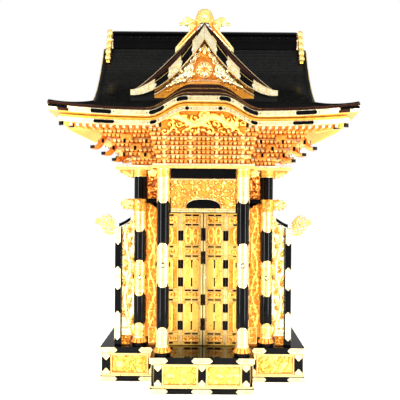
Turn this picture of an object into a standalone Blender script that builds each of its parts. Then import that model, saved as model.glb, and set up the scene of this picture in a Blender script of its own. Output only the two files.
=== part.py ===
"""Miniature shrine pavilion in black lacquer and gold leaf, at its real size in metres.

+Z is up and the front faces -Y.  The origin is at the bottom centre of the whole, under the main ridge.
A plinth with a projecting step carries six round pillars, a hollow sanctuary with four folding doors,
two wing panels, four bracket tiers, two eaves and a hip-and-gable roof with a curved gable in front.
"""
import math

import bmesh
import bpy
from mathutils import Vector

# Clearance between pieces that touch
GAP = 0.0003

# Plinth and its projecting step
BASE_HALF_W = 0.420
BASE_FRONT = -0.205
BASE_BACK = 0.254
STEP_HALF_W = 0.201
STEP_FRONT = -0.376
BASE_H = 0.141
RAIL_H = 0.022
TOP_BOARD_H = 0.025
BODY_INSET = 0.009
PANEL_SINK = 0.004
# Low dais on the sanctuary's floor, part of the plinth's top board
DAIS_HALF_W = 0.215
DAIS_FRONT = -0.150
DAIS_BACK = 0.170
DAIS_H = 0.001

# Pillars: places, radius and top
PORCH_X = 0.155
PORCH_Y = -0.340
OUTER_X = 0.263
WALL_Y = -0.168
REAR_Y = 0.217
PILLAR_R = 0.0245
PILLAR_TOP = 0.868
PILLAR_SIDES = 12
FOOT_SWELL = 1.42
BOSS_SWELL = 1.14
CAPITAL_SWELL = 1.12
PORCH_BOSS_Z = 0.494
WALL_BOSS_Z = 0.425

# Sanctuary walls and doors
WALL_T = 0.014
PANEL_FRAME = 0.025
SIDE_PANEL_ROWS = ((0.1713, 0.40), (0.43, 0.70), (0.73, 0.848))
REAR_PANEL_XS = (-0.158, 0.0, 0.158)
REAR_PANEL_HALF_W = 0.065
CEILING_Z = 0.700
CEILING_T = 0.012
DOOR_HALF_W = 0.185
DOOR_BOTTOM = 0.1425
DOOR_TOP = 0.6905
DOOR_T = 0.010
DOOR_STILE = 0.012
MEETING_GAP = 0.0016
HINGE_GAP = 0.0006
HEAD_SHOULDER = 0.7325
HEAD_TOP = 0.749
# Cusped top of a jamb panel: distance in from the pillar, height
JAMB_TOP = 0.7315
JAMB_CUSPS = ((0.014, 0.7315), (0.020, 0.722), (0.030, 0.724), (0.036, 0.712))
JAMB_INNER_TOP = 0.708
# Lower and upper edge of each of the seven sunk panels of a door leaf
DOOR_PANELS = ((0.159, 0.182), (0.1965, 0.323), (0.338, 0.365), (0.375, 0.504),
               (0.5185, 0.5435), (0.558, 0.635), (0.6475, 0.6765))

# Wing panels beside the outer pillars
WING_POST_X = 0.353
WING_POST_HALF = 0.012
WING_TOP = 0.637
WING_INNER_TOP = 0.672
WING_T = 0.012

# Porch beam, transom with its window, and the carved beam ends
BEAM_BOTTOM = 0.8303
TRANSOM_BOTTOM = 0.698
TRANSOM_TOP = 0.830
WINDOW_HALF_W = 0.065
WINDOW_BOTTOM = 0.714
WINDOW_TOP = 0.742
HEAD_HALF_T = 0.010
FRONT_HEAD = (0.700, 0.056, 0.052)

# Ledge and bracket tiers
LEDGE_TOP = 0.888
LEDGE_HALF_W = 0.360
LEDGE_FRONT = -0.215
LEDGE_BACK = 0.262
PORCH_LEDGE_HALF_W = 0.200
PORCH_LEDGE_FRONT = -0.366
TIER_COUNT = 4
TIER_H = 0.0343
TIER_HALF_W = 0.300
TIER_STEP = 0.037
TIER_FRONT = -0.210
TIER_BACK = 0.254
PORCH_TIER_HALF_W = 0.185
PORCH_TIER_FRONT = -0.370
TOOTH_PITCH = 0.085
TOOTH_DEPTH = 0.013
TIER_CORNER = 0.020
RAFTER_REACH = 0.041

# Eaves
EAVE_HALF_W = 0.578
EAVE_HALF_D = 0.4715
LOWER_EAVE_INSET = 0.033
LOWER_EAVE_TOP = 1.0545
UPPER_EAVE_TOP = 1.0795
CORNER_RISE = 0.022
BULGE = 0.055
BULGE_FLAT = 0.070
BULGE_END = 0.205
RISE_START = 0.20
BULGE_BACK = -0.29
BULGE_FADE = 0.09

# Main roof
ROOF_EDGE_T = 0.010
ROOF_EDGE_Z = UPPER_EAVE_TOP + ROOF_EDGE_T
ROOF_SLOPE = 0.18
ROOF_CURVE = 0.280
ROOF_POWER = 2.8
ROOF_FLAT_Z = 1.405
ROOF_BULGE = 0.087
ROOF_BULGE_END = 0.215
ROOF_BULGE_SPAN = 0.170
VERGE_X = 0.433
RIDGE_HALF_W = 0.402
RIDGE_HALF_D = 0.026
RIDGE_TOP = 1.482
RIDGE_END_X = 0.430
# Places where the roof's slope bends behind a ridge end, and where the end's foot stops
SLOPE_BENDS = (0.060, 0.120)
RIDGE_FOOT_Y = 0.078

# Grid lines that the eaves and the roof's underside share: up to the verge, beyond it, and front to back
EAVE_INNER_XS = [0.0, BULGE_FLAT, 0.0925, 0.115, 0.1375, 0.160, 0.1825, BULGE_END, 0.30, 0.38, VERGE_X]
EAVE_OUTER_XS = [0.49, 0.535]
EAVE_YS = [0.20, 0.29, 0.38]

# Front gable above the porch
GABLE_FRONT = -0.324
GABLE_OVERHANG = 0.039
GABLE_HALF_W = 0.2905
GABLE_PEAK = 1.441
GABLE_DROP = 0.272
BOARD_HALF_W = 0.288
BOARD_PEAK = 1.433
BOARD_DROP = 0.256
BOARD_T = 0.010
BOARD_STEPS = (0.0, 0.10, 0.22, 0.36, 0.52, 0.70, 0.86, 1.0)
BOARD_WIDTHS = (0.058, 0.054, 0.046, 0.040, 0.034, 0.029, 0.026, 0.022)
SOFFIT_DROP = 0.020
GABLE_FLOOR = 1.11
ORNAMENT_TOP = 1.498

# Carving under the curved eave
CARVING_FRONT = -0.4275
CARVING_BACK = -0.4130
CARVING_FOOT = 1.000


def clear_scene():
    for item in list(bpy.data.objects):
        bpy.data.objects.remove(item, do_unlink=True)


def make_material(name, color, roughness, metallic):
    made = bpy.data.materials.new(name)
    made.use_nodes = True
    shader = made.node_tree.nodes["Principled BSDF"]
    shader.inputs["Base Color"].default_value = (*color, 1.0)
    shader.inputs["Roughness"].default_value = roughness
    shader.inputs["Metallic"].default_value = metallic
    return made


def link_mesh(name, mesh_data, material, smooth=False, origin=(0, 0, 0)):
    """Turn a bmesh into a named object whose origin is at the given place."""
    bmesh.ops.remove_doubles(mesh_data, verts=mesh_data.verts, dist=0.00001)
    bmesh.ops.dissolve_degenerate(mesh_data, edges=mesh_data.edges, dist=0.00001)
    bmesh.ops.recalc_face_normals(mesh_data, faces=mesh_data.faces)
    bmesh.ops.translate(mesh_data, verts=mesh_data.verts, vec=-Vector(origin))
    mesh = bpy.data.meshes.new(name)
    mesh_data.to_mesh(mesh)
    mesh_data.free()
    mesh.materials.append(material)
    if smooth:
        mesh.shade_smooth()
        mesh.set_sharp_from_angle(angle=math.radians(35))
    made = bpy.data.objects.new(name, mesh)
    made.location = origin
    bpy.context.scene.collection.objects.link(made)
    return made


def loft(name, rings, material, smooth=False, origin=(0, 0, 0)):
    """Close a solid through rings of equally many points, with a flat cap at each end."""
    shape = bmesh.new()
    count = len(rings[0])
    for lower, upper in zip(rings, rings[1:]):
        for i in range(count):
            j = (i + 1) % count
            corners = [lower[i], lower[j], upper[j], upper[i]]
            points = [p for k, p in enumerate(corners) if p not in corners[:k]]
            if len(points) > 2:
                shape.faces.new([shape.verts.new(p) for p in points])
    for ring in (rings[0], rings[-1]):
        shape.faces.new([shape.verts.new(p) for p in ring])
    return link_mesh(name, shape, material, smooth, origin)


def prism(name, outline, axis, low, high, material, origin=(0, 0, 0)):
    """Extrude a flat outline along X, Y or Z between two places."""
    place = {"X": lambda a, b, c: (c, a, b), "Y": lambda a, b, c: (a, c, b), "Z": lambda a, b, c: (a, b, c)}
    rings = [[place[axis](a, b, end) for a, b in outline] for end in (low, high)]
    return loft(name, rings, material, origin=origin)


def rectangle(a0, a1, b0, b1):
    return [(a0, b0), (a1, b0), (a1, b1), (a0, b1)]


def block(name, x_range, y_range, z_range, material):
    return prism(name, rectangle(*x_range, *y_range), "Z", *z_range, material)


def arc(centre, radius, start, end, steps):
    """Points on an arc of a circle, angles in degrees."""
    angles = [math.radians(start + (end - start) * i / steps) for i in range(steps + 1)]
    return [(centre[0] + radius * math.cos(a), centre[1] + radius * math.sin(a)) for a in angles]


def mirrored(outline, side):
    return [(side * a, b) for a, b in outline]


def span(side, inner, outer):
    """Range of X between two distances from the middle, on the left or the right."""
    return sorted((side * inner, side * outer))


def cut(target, name, boxes):
    """Cut boxes, each given by its X, Y and Z range, out of a solid."""
    shape = bmesh.new()
    for x_range, y_range, z_range in boxes:
        corners = [[shape.verts.new((x, y, z)) for x, y in rectangle(*x_range, *y_range)] for z in z_range]
        shape.faces.new(corners[0])
        shape.faces.new(corners[1])
        for i in range(4):
            j = (i + 1) % 4
            shape.faces.new((corners[0][i], corners[0][j], corners[1][j], corners[1][i]))
    subtract(target, link_mesh(name, shape, target.data.materials[0]))


def subtract(target, cutter):
    cutter.hide_render = True
    cutter.display_type = "WIRE"
    step = target.modifiers.new("cut", "BOOLEAN")
    step.operation = "DIFFERENCE"
    step.solver = "EXACT"
    step.object = cutter


def make_plinth(name, half_w, front, back, panels, material):
    """A bottom rail and a set-back body; panels are (X range, Y range) boxes sunk into its sides."""
    levels = ((0.0, 0.0), (RAIL_H, 0.0), (RAIL_H + 0.004, BODY_INSET), (BASE_H - TOP_BOARD_H, BODY_INSET))
    rings = []
    for height, inset in levels:
        corners = rectangle(-half_w + inset, half_w - inset, front + inset, back - min(inset, 0.002))
        rings.append([(x, y, height) for x, y in corners])
    body = loft(name, rings, material)
    z_range = (RAIL_H + 0.014, BASE_H - TOP_BOARD_H - 0.008)
    cut(body, name + "_panel_cutter", [(x_range, y_range, z_range) for x_range, y_range in panels])
    return body


def sunk_y(face, outward):
    """Y range of a cutter that sinks a panel into a face of the plinth's body."""
    return sorted((face - outward * PANEL_SINK, face + outward * 0.05))


def make_base(gold, black):
    front = BASE_FRONT + BODY_INSET
    side = BASE_HALF_W - BODY_INSET
    panels = []
    for sign in (-1, 1):
        panels.append((span(sign, STEP_HALF_W + 0.020, side - 0.034), sunk_y(front, -1)))
        for centre in (-0.105, 0.135):
            panels.append((span(sign, side - PANEL_SINK, side + 0.05), (centre - 0.085, centre + 0.085)))
    make_plinth("base_main", BASE_HALF_W, BASE_FRONT, BASE_BACK, panels, gold)
    bottom = BASE_H - TOP_BOARD_H + GAP
    board = rectangle(-BASE_HALF_W, BASE_HALF_W, BASE_FRONT, BASE_BACK)
    dais = rectangle(-DAIS_HALF_W, DAIS_HALF_W, DAIS_FRONT, DAIS_BACK)
    stages = ((board, bottom), (board, BASE_H), (dais, BASE_H), (dais, BASE_H + DAIS_H))
    loft("base_top_board", [[(x, y, z) for x, y in outline] for outline, z in stages], black)
    step_back = BASE_FRONT - GAP
    step_face = STEP_FRONT + BODY_INSET
    step_side = STEP_HALF_W - BODY_INSET
    panels = []
    for sign in (-1, 1):
        panels.append((span(sign, 0.018, step_side - 0.034), sunk_y(step_face, -1)))
        y_range = (STEP_FRONT + 0.034, step_back - 0.024)
        panels.append((span(sign, step_side - PANEL_SINK, step_side + 0.05), y_range))
    make_plinth("step_base", STEP_HALF_W, STEP_FRONT, step_back, panels, gold)
    block("step_top_board", (-STEP_HALF_W, STEP_HALF_W), (STEP_FRONT, step_back), (bottom, BASE_H), black)


def pillar_profile(boss_z):
    """Radius and height of each turn of a pillar: foot, lotus, shaft, ringed boss and capital."""
    foot = BASE_H + GAP
    return [
        (1.27, foot), (1.27, foot + 0.013), (1.05, foot + 0.016), (FOOT_SWELL, foot + 0.020),
        (1.08, foot + 0.046), (1.0, foot + 0.055), (1.0, boss_z - 0.012), (BOSS_SWELL, boss_z - 0.005),
        (BOSS_SWELL, boss_z + 0.005), (1.0, boss_z + 0.012), (1.0, PILLAR_TOP - 0.030),
        (CAPITAL_SWELL, PILLAR_TOP - 0.018), (CAPITAL_SWELL, PILLAR_TOP),
    ]


def make_pillar(name, x, y, boss_z, material):
    rings = []
    for scale, height in pillar_profile(boss_z):
        radius = PILLAR_R * scale
        ring = arc((x, y), radius, 0, 360, PILLAR_SIDES)[:-1]
        rings.append([(px, py, height) for px, py in ring])
    loft(name, rings, material, smooth=True)


def beside_pillar(centre, toward, low, high):
    """Edge of a board beside a pillar, notched round its foot, its boss and its capital."""
    zones = ((0.0, BASE_H + 0.058, FOOT_SWELL), (BASE_H + 0.058, WALL_BOSS_Z - 0.013, 1.0),
             (WALL_BOSS_Z - 0.013, WALL_BOSS_Z + 0.013, BOSS_SWELL),
             (WALL_BOSS_Z + 0.013, PILLAR_TOP - 0.031, 1.0), (PILLAR_TOP - 0.031, PILLAR_TOP, CAPITAL_SWELL))
    points = []
    for start, end, swell in zones:
        ends = (max(start, low), min(end, high))
        if ends[0] < ends[1]:
            place = centre + toward * (PILLAR_R * swell + GAP * 2)
            points += [(place, ends[0]), (place, ends[1])]
    return points


def framed_board(name, x_cuts, z_cuts, sunk, y_front, y_back, material, origin=(0, 0, 0)):
    """A board whose front face has sunk cells: sunk(column, row) says which."""
    shape = bmesh.new()
    depth = 0.003
    columns = len(x_cuts) - 1
    rows = len(z_cuts) - 1

    def quad(*points):
        shape.faces.new([shape.verts.new(point) for point in points])

    for i in range(columns):
        for j in range(rows):
            x0, x1 = x_cuts[i], x_cuts[i + 1]
            z0, z1 = z_cuts[j], z_cuts[j + 1]
            y = y_front + depth if sunk(i, j) else y_front
            quad((x0, y, z0), (x1, y, z0), (x1, y, z1), (x0, y, z1))
            if sunk(i, j):
                ring = [(x0, z0), (x1, z0), (x1, z1), (x0, z1)]
                for (xa, za), (xb, zb) in zip(ring, ring[1:] + ring[:1]):
                    quad((xa, y_front, za), (xb, y_front, zb), (xb, y, zb), (xa, y, za))
    border = [(x, z_cuts[0]) for x in x_cuts[:-1]] + [(x_cuts[-1], z) for z in z_cuts[:-1]]
    border += [(x, z_cuts[-1]) for x in reversed(x_cuts[1:])] + [(x_cuts[0], z) for z in reversed(z_cuts[1:])]
    for (xa, za), (xb, zb) in zip(border, border[1:] + border[:1]):
        quad((xa, y_front, za), (xb, y_front, zb), (xb, y_back, zb), (xa, y_back, za))
    quad(*[(x, y_back, z) for x, z in border])
    return link_mesh(name, shape, material, origin=origin)


def make_doors(gold):
    """Four leaves; each pair folds forward, hinged to the jamb in front and to each other behind."""
    front = WALL_Y - DOOR_T / 2
    back = WALL_Y + DOOR_T / 2
    jamb = DOOR_HALF_W - HINGE_GAP
    middle = (DOOR_HALF_W + MEETING_GAP) / 2
    z_cuts = [DOOR_BOTTOM] + [edge for panel in DOOR_PANELS for edge in panel] + [DOOR_TOP]
    for side, word in ((-1, "left"), (1, "right")):
        leaves = (("outer", middle + HINGE_GAP / 2, jamb, (side * jamb, front, 0)),
                  ("inner", MEETING_GAP, middle - HINGE_GAP / 2, (side * middle, back, 0)))
        for part, inner_x, outer_x, pivot in leaves:
            edges = (inner_x, inner_x + DOOR_STILE, outer_x - DOOR_STILE, outer_x)
            x_cuts = sorted(side * x for x in edges)
            framed_board("door_%s_%s" % (part, word), x_cuts, z_cuts,
                         lambda i, j: i == 1 and j % 2 == 1, front, back, gold, origin=pivot)
    lock = [(MEETING_GAP, 0.398), (0.008, 0.398), (0.008, 0.416), (0.013, 0.421), (0.013, 0.429),
            (0.008, 0.434), (0.008, 0.452), (MEETING_GAP, 0.452)]
    prism("door_lock", lock, "Y", front - 0.005, front - GAP, gold, origin=(middle, back, 0))


def make_walls(gold, black):
    floor = BASE_H + GAP
    inside = OUTER_X - PILLAR_R - GAP * 2
    half = WALL_T / 2
    top = PILLAR_TOP
    y_front = WALL_Y + PILLAR_R + GAP * 2
    y_rear = REAR_Y - PILLAR_R - GAP * 2
    wall_edges = beside_pillar(WALL_Y, 1, floor, top) + beside_pillar(REAR_Y, -1, floor, top)[::-1]
    jamb_x = DOOR_HALF_W + HINGE_GAP
    for side, word in ((-1, "left"), (1, "right")):
        wall = prism("side_wall_" + word, wall_edges, "X", *span(side, OUTER_X - half, OUTER_X + half), gold)
        face = OUTER_X + half
        sunk = [(span(side, face - 0.003, face + 0.02), (y_front + PANEL_FRAME, y_rear - PANEL_FRAME), z_range)
                for z_range in SIDE_PANEL_ROWS]
        cut(wall, "side_wall_cutter_" + word, sunk)
        jamb = [(jamb_x, floor)] + beside_pillar(OUTER_X, -1, floor, JAMB_TOP)
        jamb += [(inside - a, z) for a, z in JAMB_CUSPS] + [(jamb_x, JAMB_INNER_TOP)]
        prism("jamb_panel_" + word, mirrored(jamb, side), "Y", WALL_Y - 0.006, WALL_Y + 0.006, gold)
    rear_edges = beside_pillar(OUTER_X, -1, floor, top)
    rear_edges += [(-x, z) for x, z in reversed(rear_edges)]
    rear = prism("back_wall", rear_edges, "Y", REAR_Y - half, REAR_Y + half, black)
    bays = [((centre - REAR_PANEL_HALF_W, centre + REAR_PANEL_HALF_W), (REAR_Y + half - 0.003, REAR_Y + 0.03), z_range)
            for centre in REAR_PANEL_XS for z_range in SIDE_PANEL_ROWS[:2]]
    cut(rear, "back_wall_cutter", bays)
    ceiling_half = OUTER_X - half - GAP
    block("ceiling_board", (-ceiling_half, ceiling_half), (y_front, y_rear), (CEILING_Z, CEILING_Z + CEILING_T), gold)
    inner = DOOR_HALF_W
    head = [(-inner, DOOR_TOP + 0.0015), (inner, DOOR_TOP + 0.0015), (inner, HEAD_SHOULDER), (inside, HEAD_SHOULDER),
            (inside, HEAD_TOP), (-inside, HEAD_TOP), (-inside, HEAD_SHOULDER), (-inner, HEAD_SHOULDER)]
    prism("door_head", head, "Y", WALL_Y - 0.007, WALL_Y + 0.007, black)
    frieze = beside_pillar(OUTER_X, -1, HEAD_TOP + GAP, top)
    frieze += [(-x, z) for x, z in reversed(frieze)]
    prism("front_frieze", frieze, "Y", WALL_Y - 0.005, WALL_Y + 0.005, gold)


def cloud_head(length, height):
    """Side outline of a carved beam end that curls outwards, from its root at zero."""
    root = [(0.0, height), (0.0, height * 0.10)]
    under = arc((length * 0.32, height * 0.30), height * 0.28, 215, 330, 3)
    tip = arc((length * 0.74, height * 0.52), height * 0.34, 255, 420, 5)
    return root + under + tip + [(length * 0.62, height)]


def make_beams(gold, black):
    """Porch beam and transom, and the carved ends that stand out from the pillars."""
    inside = PORCH_X - PILLAR_R * BOSS_SWELL - GAP * 2
    block("porch_beam", (-inside, inside), (PORCH_Y - 0.012, PORCH_Y + 0.012), (BEAM_BOTTOM, PILLAR_TOP), black)
    transom = block("porch_transom", (-inside, inside), (PORCH_Y - 0.007, PORCH_Y + 0.007),
                    (TRANSOM_BOTTOM, TRANSOM_TOP), gold)
    window = ((-WINDOW_HALF_W, WINDOW_HALF_W), (PORCH_Y - 0.02, PORCH_Y - 0.003), (WINDOW_BOTTOM, WINDOW_TOP))
    cut(transom, "transom_window_cutter", [window])
    ends = (("porch_beam_head", PORCH_X, PORCH_Y, 0.832, 0.034, 0.036, CAPITAL_SWELL),
            ("top_cloud_head", OUTER_X, WALL_Y, 0.834, 0.058, 0.034, CAPITAL_SWELL),
            ("tie_beam_head", OUTER_X, WALL_Y, *FRONT_HEAD, 1.0))
    for side, word in ((-1, "left"), (1, "right")):
        for name, x, y, z, length, height, swell in ends:
            root = x + PILLAR_R * swell + GAP * 2
            outline = [(root + a, z + b) for a, b in cloud_head(length, height)]
            prism("%s_%s" % (name, word), mirrored(outline, side), "Y", y - HEAD_HALF_T, y + HEAD_HALF_T, gold)
        root = WALL_Y - PILLAR_R - GAP * 2
        outline = [(root - a, FRONT_HEAD[0] + b) for a, b in cloud_head(*FRONT_HEAD[1:])]
        x_range = span(side, OUTER_X - HEAD_HALF_T, OUTER_X + HEAD_HALF_T)
        prism("front_beam_head_" + word, outline, "X", *x_range, gold)


def wing_rail_curve(count):
    """Centre line of the sloping rail, from the pillar down to the post."""
    start = OUTER_X + PILLAR_R + GAP * 2
    end = WING_POST_X + WING_POST_HALF
    points = []
    for i in range(count + 1):
        t = i / count
        drop = (WING_INNER_TOP - WING_TOP) * math.sin(t * math.pi / 2) ** 1.3
        points.append((start + (end - start) * t, WING_INNER_TOP - drop))
    return points


def make_wings(gold, black):
    floor = BASE_H + GAP
    thick = 0.007
    curve = wing_rail_curve(5)
    upper = [(x, z + thick) for x, z in curve]
    lower = [(x, z - thick) for x, z in curve]
    post_inner = WING_POST_X - WING_POST_HALF
    for side, word in ((-1, "left"), (1, "right")):
        prism("wing_rail_" + word, mirrored(upper + lower[::-1], side), "Y", WALL_Y - 0.008, WALL_Y + 0.008, black)
        top = [(x, z - GAP * 2) for x, z in lower if x < post_inner - 0.004]
        fill = (post_inner - GAP - top[-1][0]) / (lower[len(top)][0] - top[-1][0])
        edge = top[-1][1] + fill * (lower[len(top)][1] - GAP * 2 - top[-1][1])
        panel = top[1:] + [(post_inner - GAP, edge), (post_inner - GAP, floor)]
        panel += beside_pillar(OUTER_X, 1, floor, top[0][1])
        prism("wing_panel_" + word, mirrored(panel, side), "Y", WALL_Y - WING_T / 2, WALL_Y + WING_T / 2, gold)
        post_top = lower[-1][1] - GAP * 2
        block("wing_post_" + word, span(side, post_inner, WING_POST_X + WING_POST_HALF),
              (WALL_Y - 0.010, WALL_Y + 0.010), (floor, post_top), black)
        root = WING_POST_X + WING_POST_HALF + GAP * 2
        beast = [(root, 0.652), (root, 0.600), (root + 0.012, 0.606)]
        beast += arc((root + 0.030, 0.628), 0.018, 240, 330, 3)
        beast += arc((root + 0.060, 0.650), 0.018, 285, 400, 4)
        beast += arc((root + 0.040, 0.672), 0.014, 10, 130, 4)
        beast += [(root + 0.022, 0.664), (root + 0.010, 0.668)]
        prism("wing_beast_" + word, mirrored(beast, side), "Y", WALL_Y - 0.010, WALL_Y + 0.010, gold)


def toothed(start, end):
    """Points from a corner to the next, with blocks standing out of the edge."""
    ax, ay = start
    bx, by = end
    length = math.hypot(bx - ax, by - ay)
    ux, uy = (bx - ax) / length, (by - ay) / length
    count = int((length - 0.02) / TOOTH_PITCH)
    points = [start]
    for i in range(count):
        middle = length * (i + 0.5) / count
        for along, out in ((-0.25, 0), (-0.25, 1), (0.25, 1), (0.25, 0)):
            s = middle + along * TOOTH_PITCH
            points.append((ax + ux * s + uy * TOOTH_DEPTH * out, ay + uy * s - ux * TOOTH_DEPTH * out))
    return points


def make_tier(name, level, material):
    """One bracket tier: a T-shaped board edged with blocks, with a tail rafter at each main corner."""
    grow = TIER_STEP * level
    half = TIER_HALF_W + grow
    front = TIER_FRONT - grow * 0.95
    back = TIER_BACK + grow * 0.85
    porch_half = PORCH_TIER_HALF_W + grow * 0.25
    porch_front = PORCH_TIER_FRONT - grow * 0.25
    corner = TIER_CORNER
    z0 = LEDGE_TOP + GAP + level * TIER_H
    z1 = z0 + TIER_H - GAP
    sides = [(-porch_half, porch_front), (porch_half, porch_front), (porch_half, front), (half - corner, front),
             (half, front + corner), (half, back - corner), (half - corner, back), (-half + corner, back),
             (-half, back - corner), (-half, front + corner), (-half + corner, front), (-porch_half, front)]
    chamfers = {3: (1, -1), 5: (1, 1), 7: (-1, 1), 9: (-1, -1)}
    outline = []
    prongs = {}
    for i, start in enumerate(sides):
        if i in chamfers:
            prongs[len(outline)] = chamfers[i]
            outline.append(start)
        else:
            outline += toothed(start, sides[(i + 1) % len(sides)])
    shape = bmesh.new()
    low = [shape.verts.new((x, y, z0)) for x, y in outline]
    high = [shape.verts.new((x, y, z1)) for x, y in outline]
    shape.faces.new(low)
    shape.faces.new(high)
    fall = 0.018 if level else 0.006
    for i in range(len(outline)):
        j = (i + 1) % len(outline)
        if i not in prongs:
            shape.faces.new((low[i], low[j], high[j], high[i]))
            continue
        move = Vector((prongs[i][0] * RAFTER_REACH, prongs[i][1] * RAFTER_REACH, -fall))
        root = (low[i], low[j], high[j], high[i])
        tip = [shape.verts.new(vertex.co + move) for vertex in root]
        for vertex in tip[:2]:
            vertex.co.z += TIER_H * 0.25
        for vertex in tip[2:]:
            vertex.co.z -= TIER_H * 0.10
        shape.faces.new(tip)
        for k in range(4):
            m = (k + 1) % 4
            shape.faces.new((root[k], root[m], tip[m], tip[k]))
    return link_mesh(name, shape, material)


def smooth_step(value):
    t = min(1.0, max(0.0, value))
    return t * t * (3 - 2 * t)


def edge_rise(x, y):
    """How far the eaves rise: towards each corner, and in the curved gable over the porch."""
    corner_x = max(0.0, abs(x) - RISE_START) / (EAVE_HALF_W - RISE_START)
    corner_y = max(0.0, abs(y) - RISE_START) / (EAVE_HALF_D - RISE_START)
    corner = CORNER_RISE * corner_x ** 2 * corner_y ** 2
    swell = smooth_step((BULGE_END - abs(x)) / (BULGE_END - BULGE_FLAT))
    fade = min(1.0, max(0.0, (BULGE_BACK - y) / BULGE_FADE))
    return corner + BULGE * swell * fade


def roof_curve(distance):
    """Height of the roof above the eaves, by the distance in from the edge."""
    lift = ROOF_SLOPE * distance + ROOF_CURVE * (distance / EAVE_HALF_D) ** ROOF_POWER
    return min(ROOF_FLAT_Z, ROOF_EDGE_Z + lift)


def roof_top(x, y, hipped):
    """Top of the main roof: hipped outside the verges, and swelling over the porch."""
    inward = EAVE_HALF_D - abs(y)
    if hipped:
        inward = min(inward, EAVE_HALF_W - abs(x))
    swell = smooth_step((ROOF_BULGE_END - abs(x)) / ROOF_BULGE_SPAN)
    if y < 0 and swell > 0:
        return max(roof_curve(inward), ROOF_EDGE_Z + ROOF_BULGE * swell)
    return roof_curve(inward) + edge_rise(x, y)


def both_sides(places):
    return [-p for p in reversed(places) if p] + list(places)


def surface_solid(name, xs, ys_top, ys_bottom, top, bottom, material):
    """Close the space between two surfaces over a grid; each top column may be split in two."""
    shape = bmesh.new()

    def strip(near, far):
        for i in range(len(near) - 1):
            corners = (near[i], near[i + 1], far[i + 1], far[i])
            for trio in ((0, 1, 2), (0, 2, 3)):
                points = [corners[k] for k in trio]
                if len(set(points)) == 3:
                    shape.faces.new([shape.verts.new(p) for p in points])

    tops = [[(x, y, top(x, y, split)) for y in ys_top] for x, split in xs]
    bottoms = [[(x, y, bottom(x, y)) for y in ys_bottom] for x, split in xs]
    for near, far in zip(tops, tops[1:]):
        strip(near, far)
    for near, far in zip(bottoms, bottoms[1:]):
        if near != far:
            strip(near, far)
    for end in (0, -1):
        edge = [(column[end], low[end]) for column, low in zip(tops, bottoms)]
        for (a, c), (b, d) in zip(edge, edge[1:]):
            if a != b:
                shape.faces.new([shape.verts.new(p) for p in (a, b, d, c)])
    for column, low in ((tops[0], bottoms[0]), (tops[-1], bottoms[-1])):
        shape.faces.new([shape.verts.new(p) for p in column + low[::-1]])
    return link_mesh(name, shape, material)


def make_eaves(gold):
    xs = EAVE_INNER_XS + EAVE_OUTER_XS
    ys = both_sides(EAVE_YS)
    lower_bottom = LEDGE_TOP + TIER_COUNT * TIER_H + GAP * 2
    levels = (("eave_lower", LOWER_EAVE_INSET, lower_bottom, LOWER_EAVE_TOP),
              ("eave_upper", 0.0, LOWER_EAVE_TOP + GAP * 4, UPPER_EAVE_TOP))
    for name, inset, bottom, top in levels:
        half_w = EAVE_HALF_W - inset
        half_d = EAVE_HALF_D - inset
        columns = [(x, False) for x in both_sides(xs + [half_w])]
        rows = [-half_d] + ys + [half_d]
        surface_solid(name, columns, rows, rows, lambda x, y, split, z=top: z + edge_rise(x, y),
                      lambda x, y, z=bottom: z + edge_rise(x, y), gold)


def make_roof(black):
    right = [(x, False) for x in EAVE_INNER_XS]
    right += [(x, True) for x in [VERGE_X] + EAVE_OUTER_XS + [EAVE_HALF_W]]
    columns = [(-x, hipped) for x, hipped in reversed(right[1:])] + right
    bottom_rows = [-EAVE_HALF_D] + both_sides(EAVE_YS) + [EAVE_HALF_D]
    inset = EAVE_HALF_W - VERGE_X
    front_rows = [-EAVE_HALF_D, -0.43, -0.38, -(EAVE_HALF_D - inset), -0.29, -0.25, -0.20, -0.15, -0.10, -0.06]
    back_rows = [*SLOPE_BENDS, 0.20, 0.27, EAVE_HALF_D - inset, 0.40, EAVE_HALF_D]
    top_rows = front_rows + [-RIDGE_HALF_D - 0.0005, RIDGE_HALF_D + 0.0005] + back_rows
    roof = surface_solid("main_roof", columns, top_rows, bottom_rows, roof_top,
                         lambda x, y: UPPER_EAVE_TOP + GAP * 2 + edge_rise(x, y), black)
    places = (0.235, 0.15, 0.08, RIDGE_HALF_D)
    slope = [(y, roof_curve(EAVE_HALF_D - y) - 0.035) for y in places]
    recess = [(-y, z) for y, z in slope] + slope[::-1]
    for side, word in ((-1, "left"), (1, "right")):
        x_range = span(side, VERGE_X - 0.028, VERGE_X + 0.05)
        subtract(roof, prism("gable_recess_cutter_" + word, recess, "X", *x_range, black))
    return roof


def make_side_boards(gold):
    """Curved boards along the verges of the side gables."""
    floor = roof_curve(EAVE_HALF_W - VERGE_X) + 0.003
    places = (0.29, 0.235, 0.18, 0.13, 0.08, RIDGE_HALF_D)
    outer = [(y, roof_curve(EAVE_HALF_D - y) - 0.003) for y in places]
    inner = [(y, max(z - 0.035, floor)) for y, z in outer]
    outline = [(-y, z) for y, z in outer] + outer[::-1] + inner + [(-y, z) for y, z in inner[::-1]]
    for side, word in ((-1, "left"), (1, "right")):
        prism("side_verge_" + word, outline, "X", *span(side, VERGE_X + GAP, VERGE_X + 0.010), gold)


def gable_top(x):
    """Outer line of the front gable's roof."""
    t = abs(x) / GABLE_HALF_W
    return GABLE_PEAK - GABLE_DROP * (1.12 * t - 0.12 * t ** 4)


def board_top(x):
    """Upper edge of the boards under the front gable's roof."""
    t = min(1.0, abs(x) / BOARD_HALF_W)
    return BOARD_PEAK - BOARD_DROP + BOARD_DROP * (1 - t) ** 1.9


def gable_places():
    return [GABLE_HALF_W * t for t in (0.0, 0.12, 0.25, 0.38, 0.52, 0.68, 0.84, 1.0)]


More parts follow.
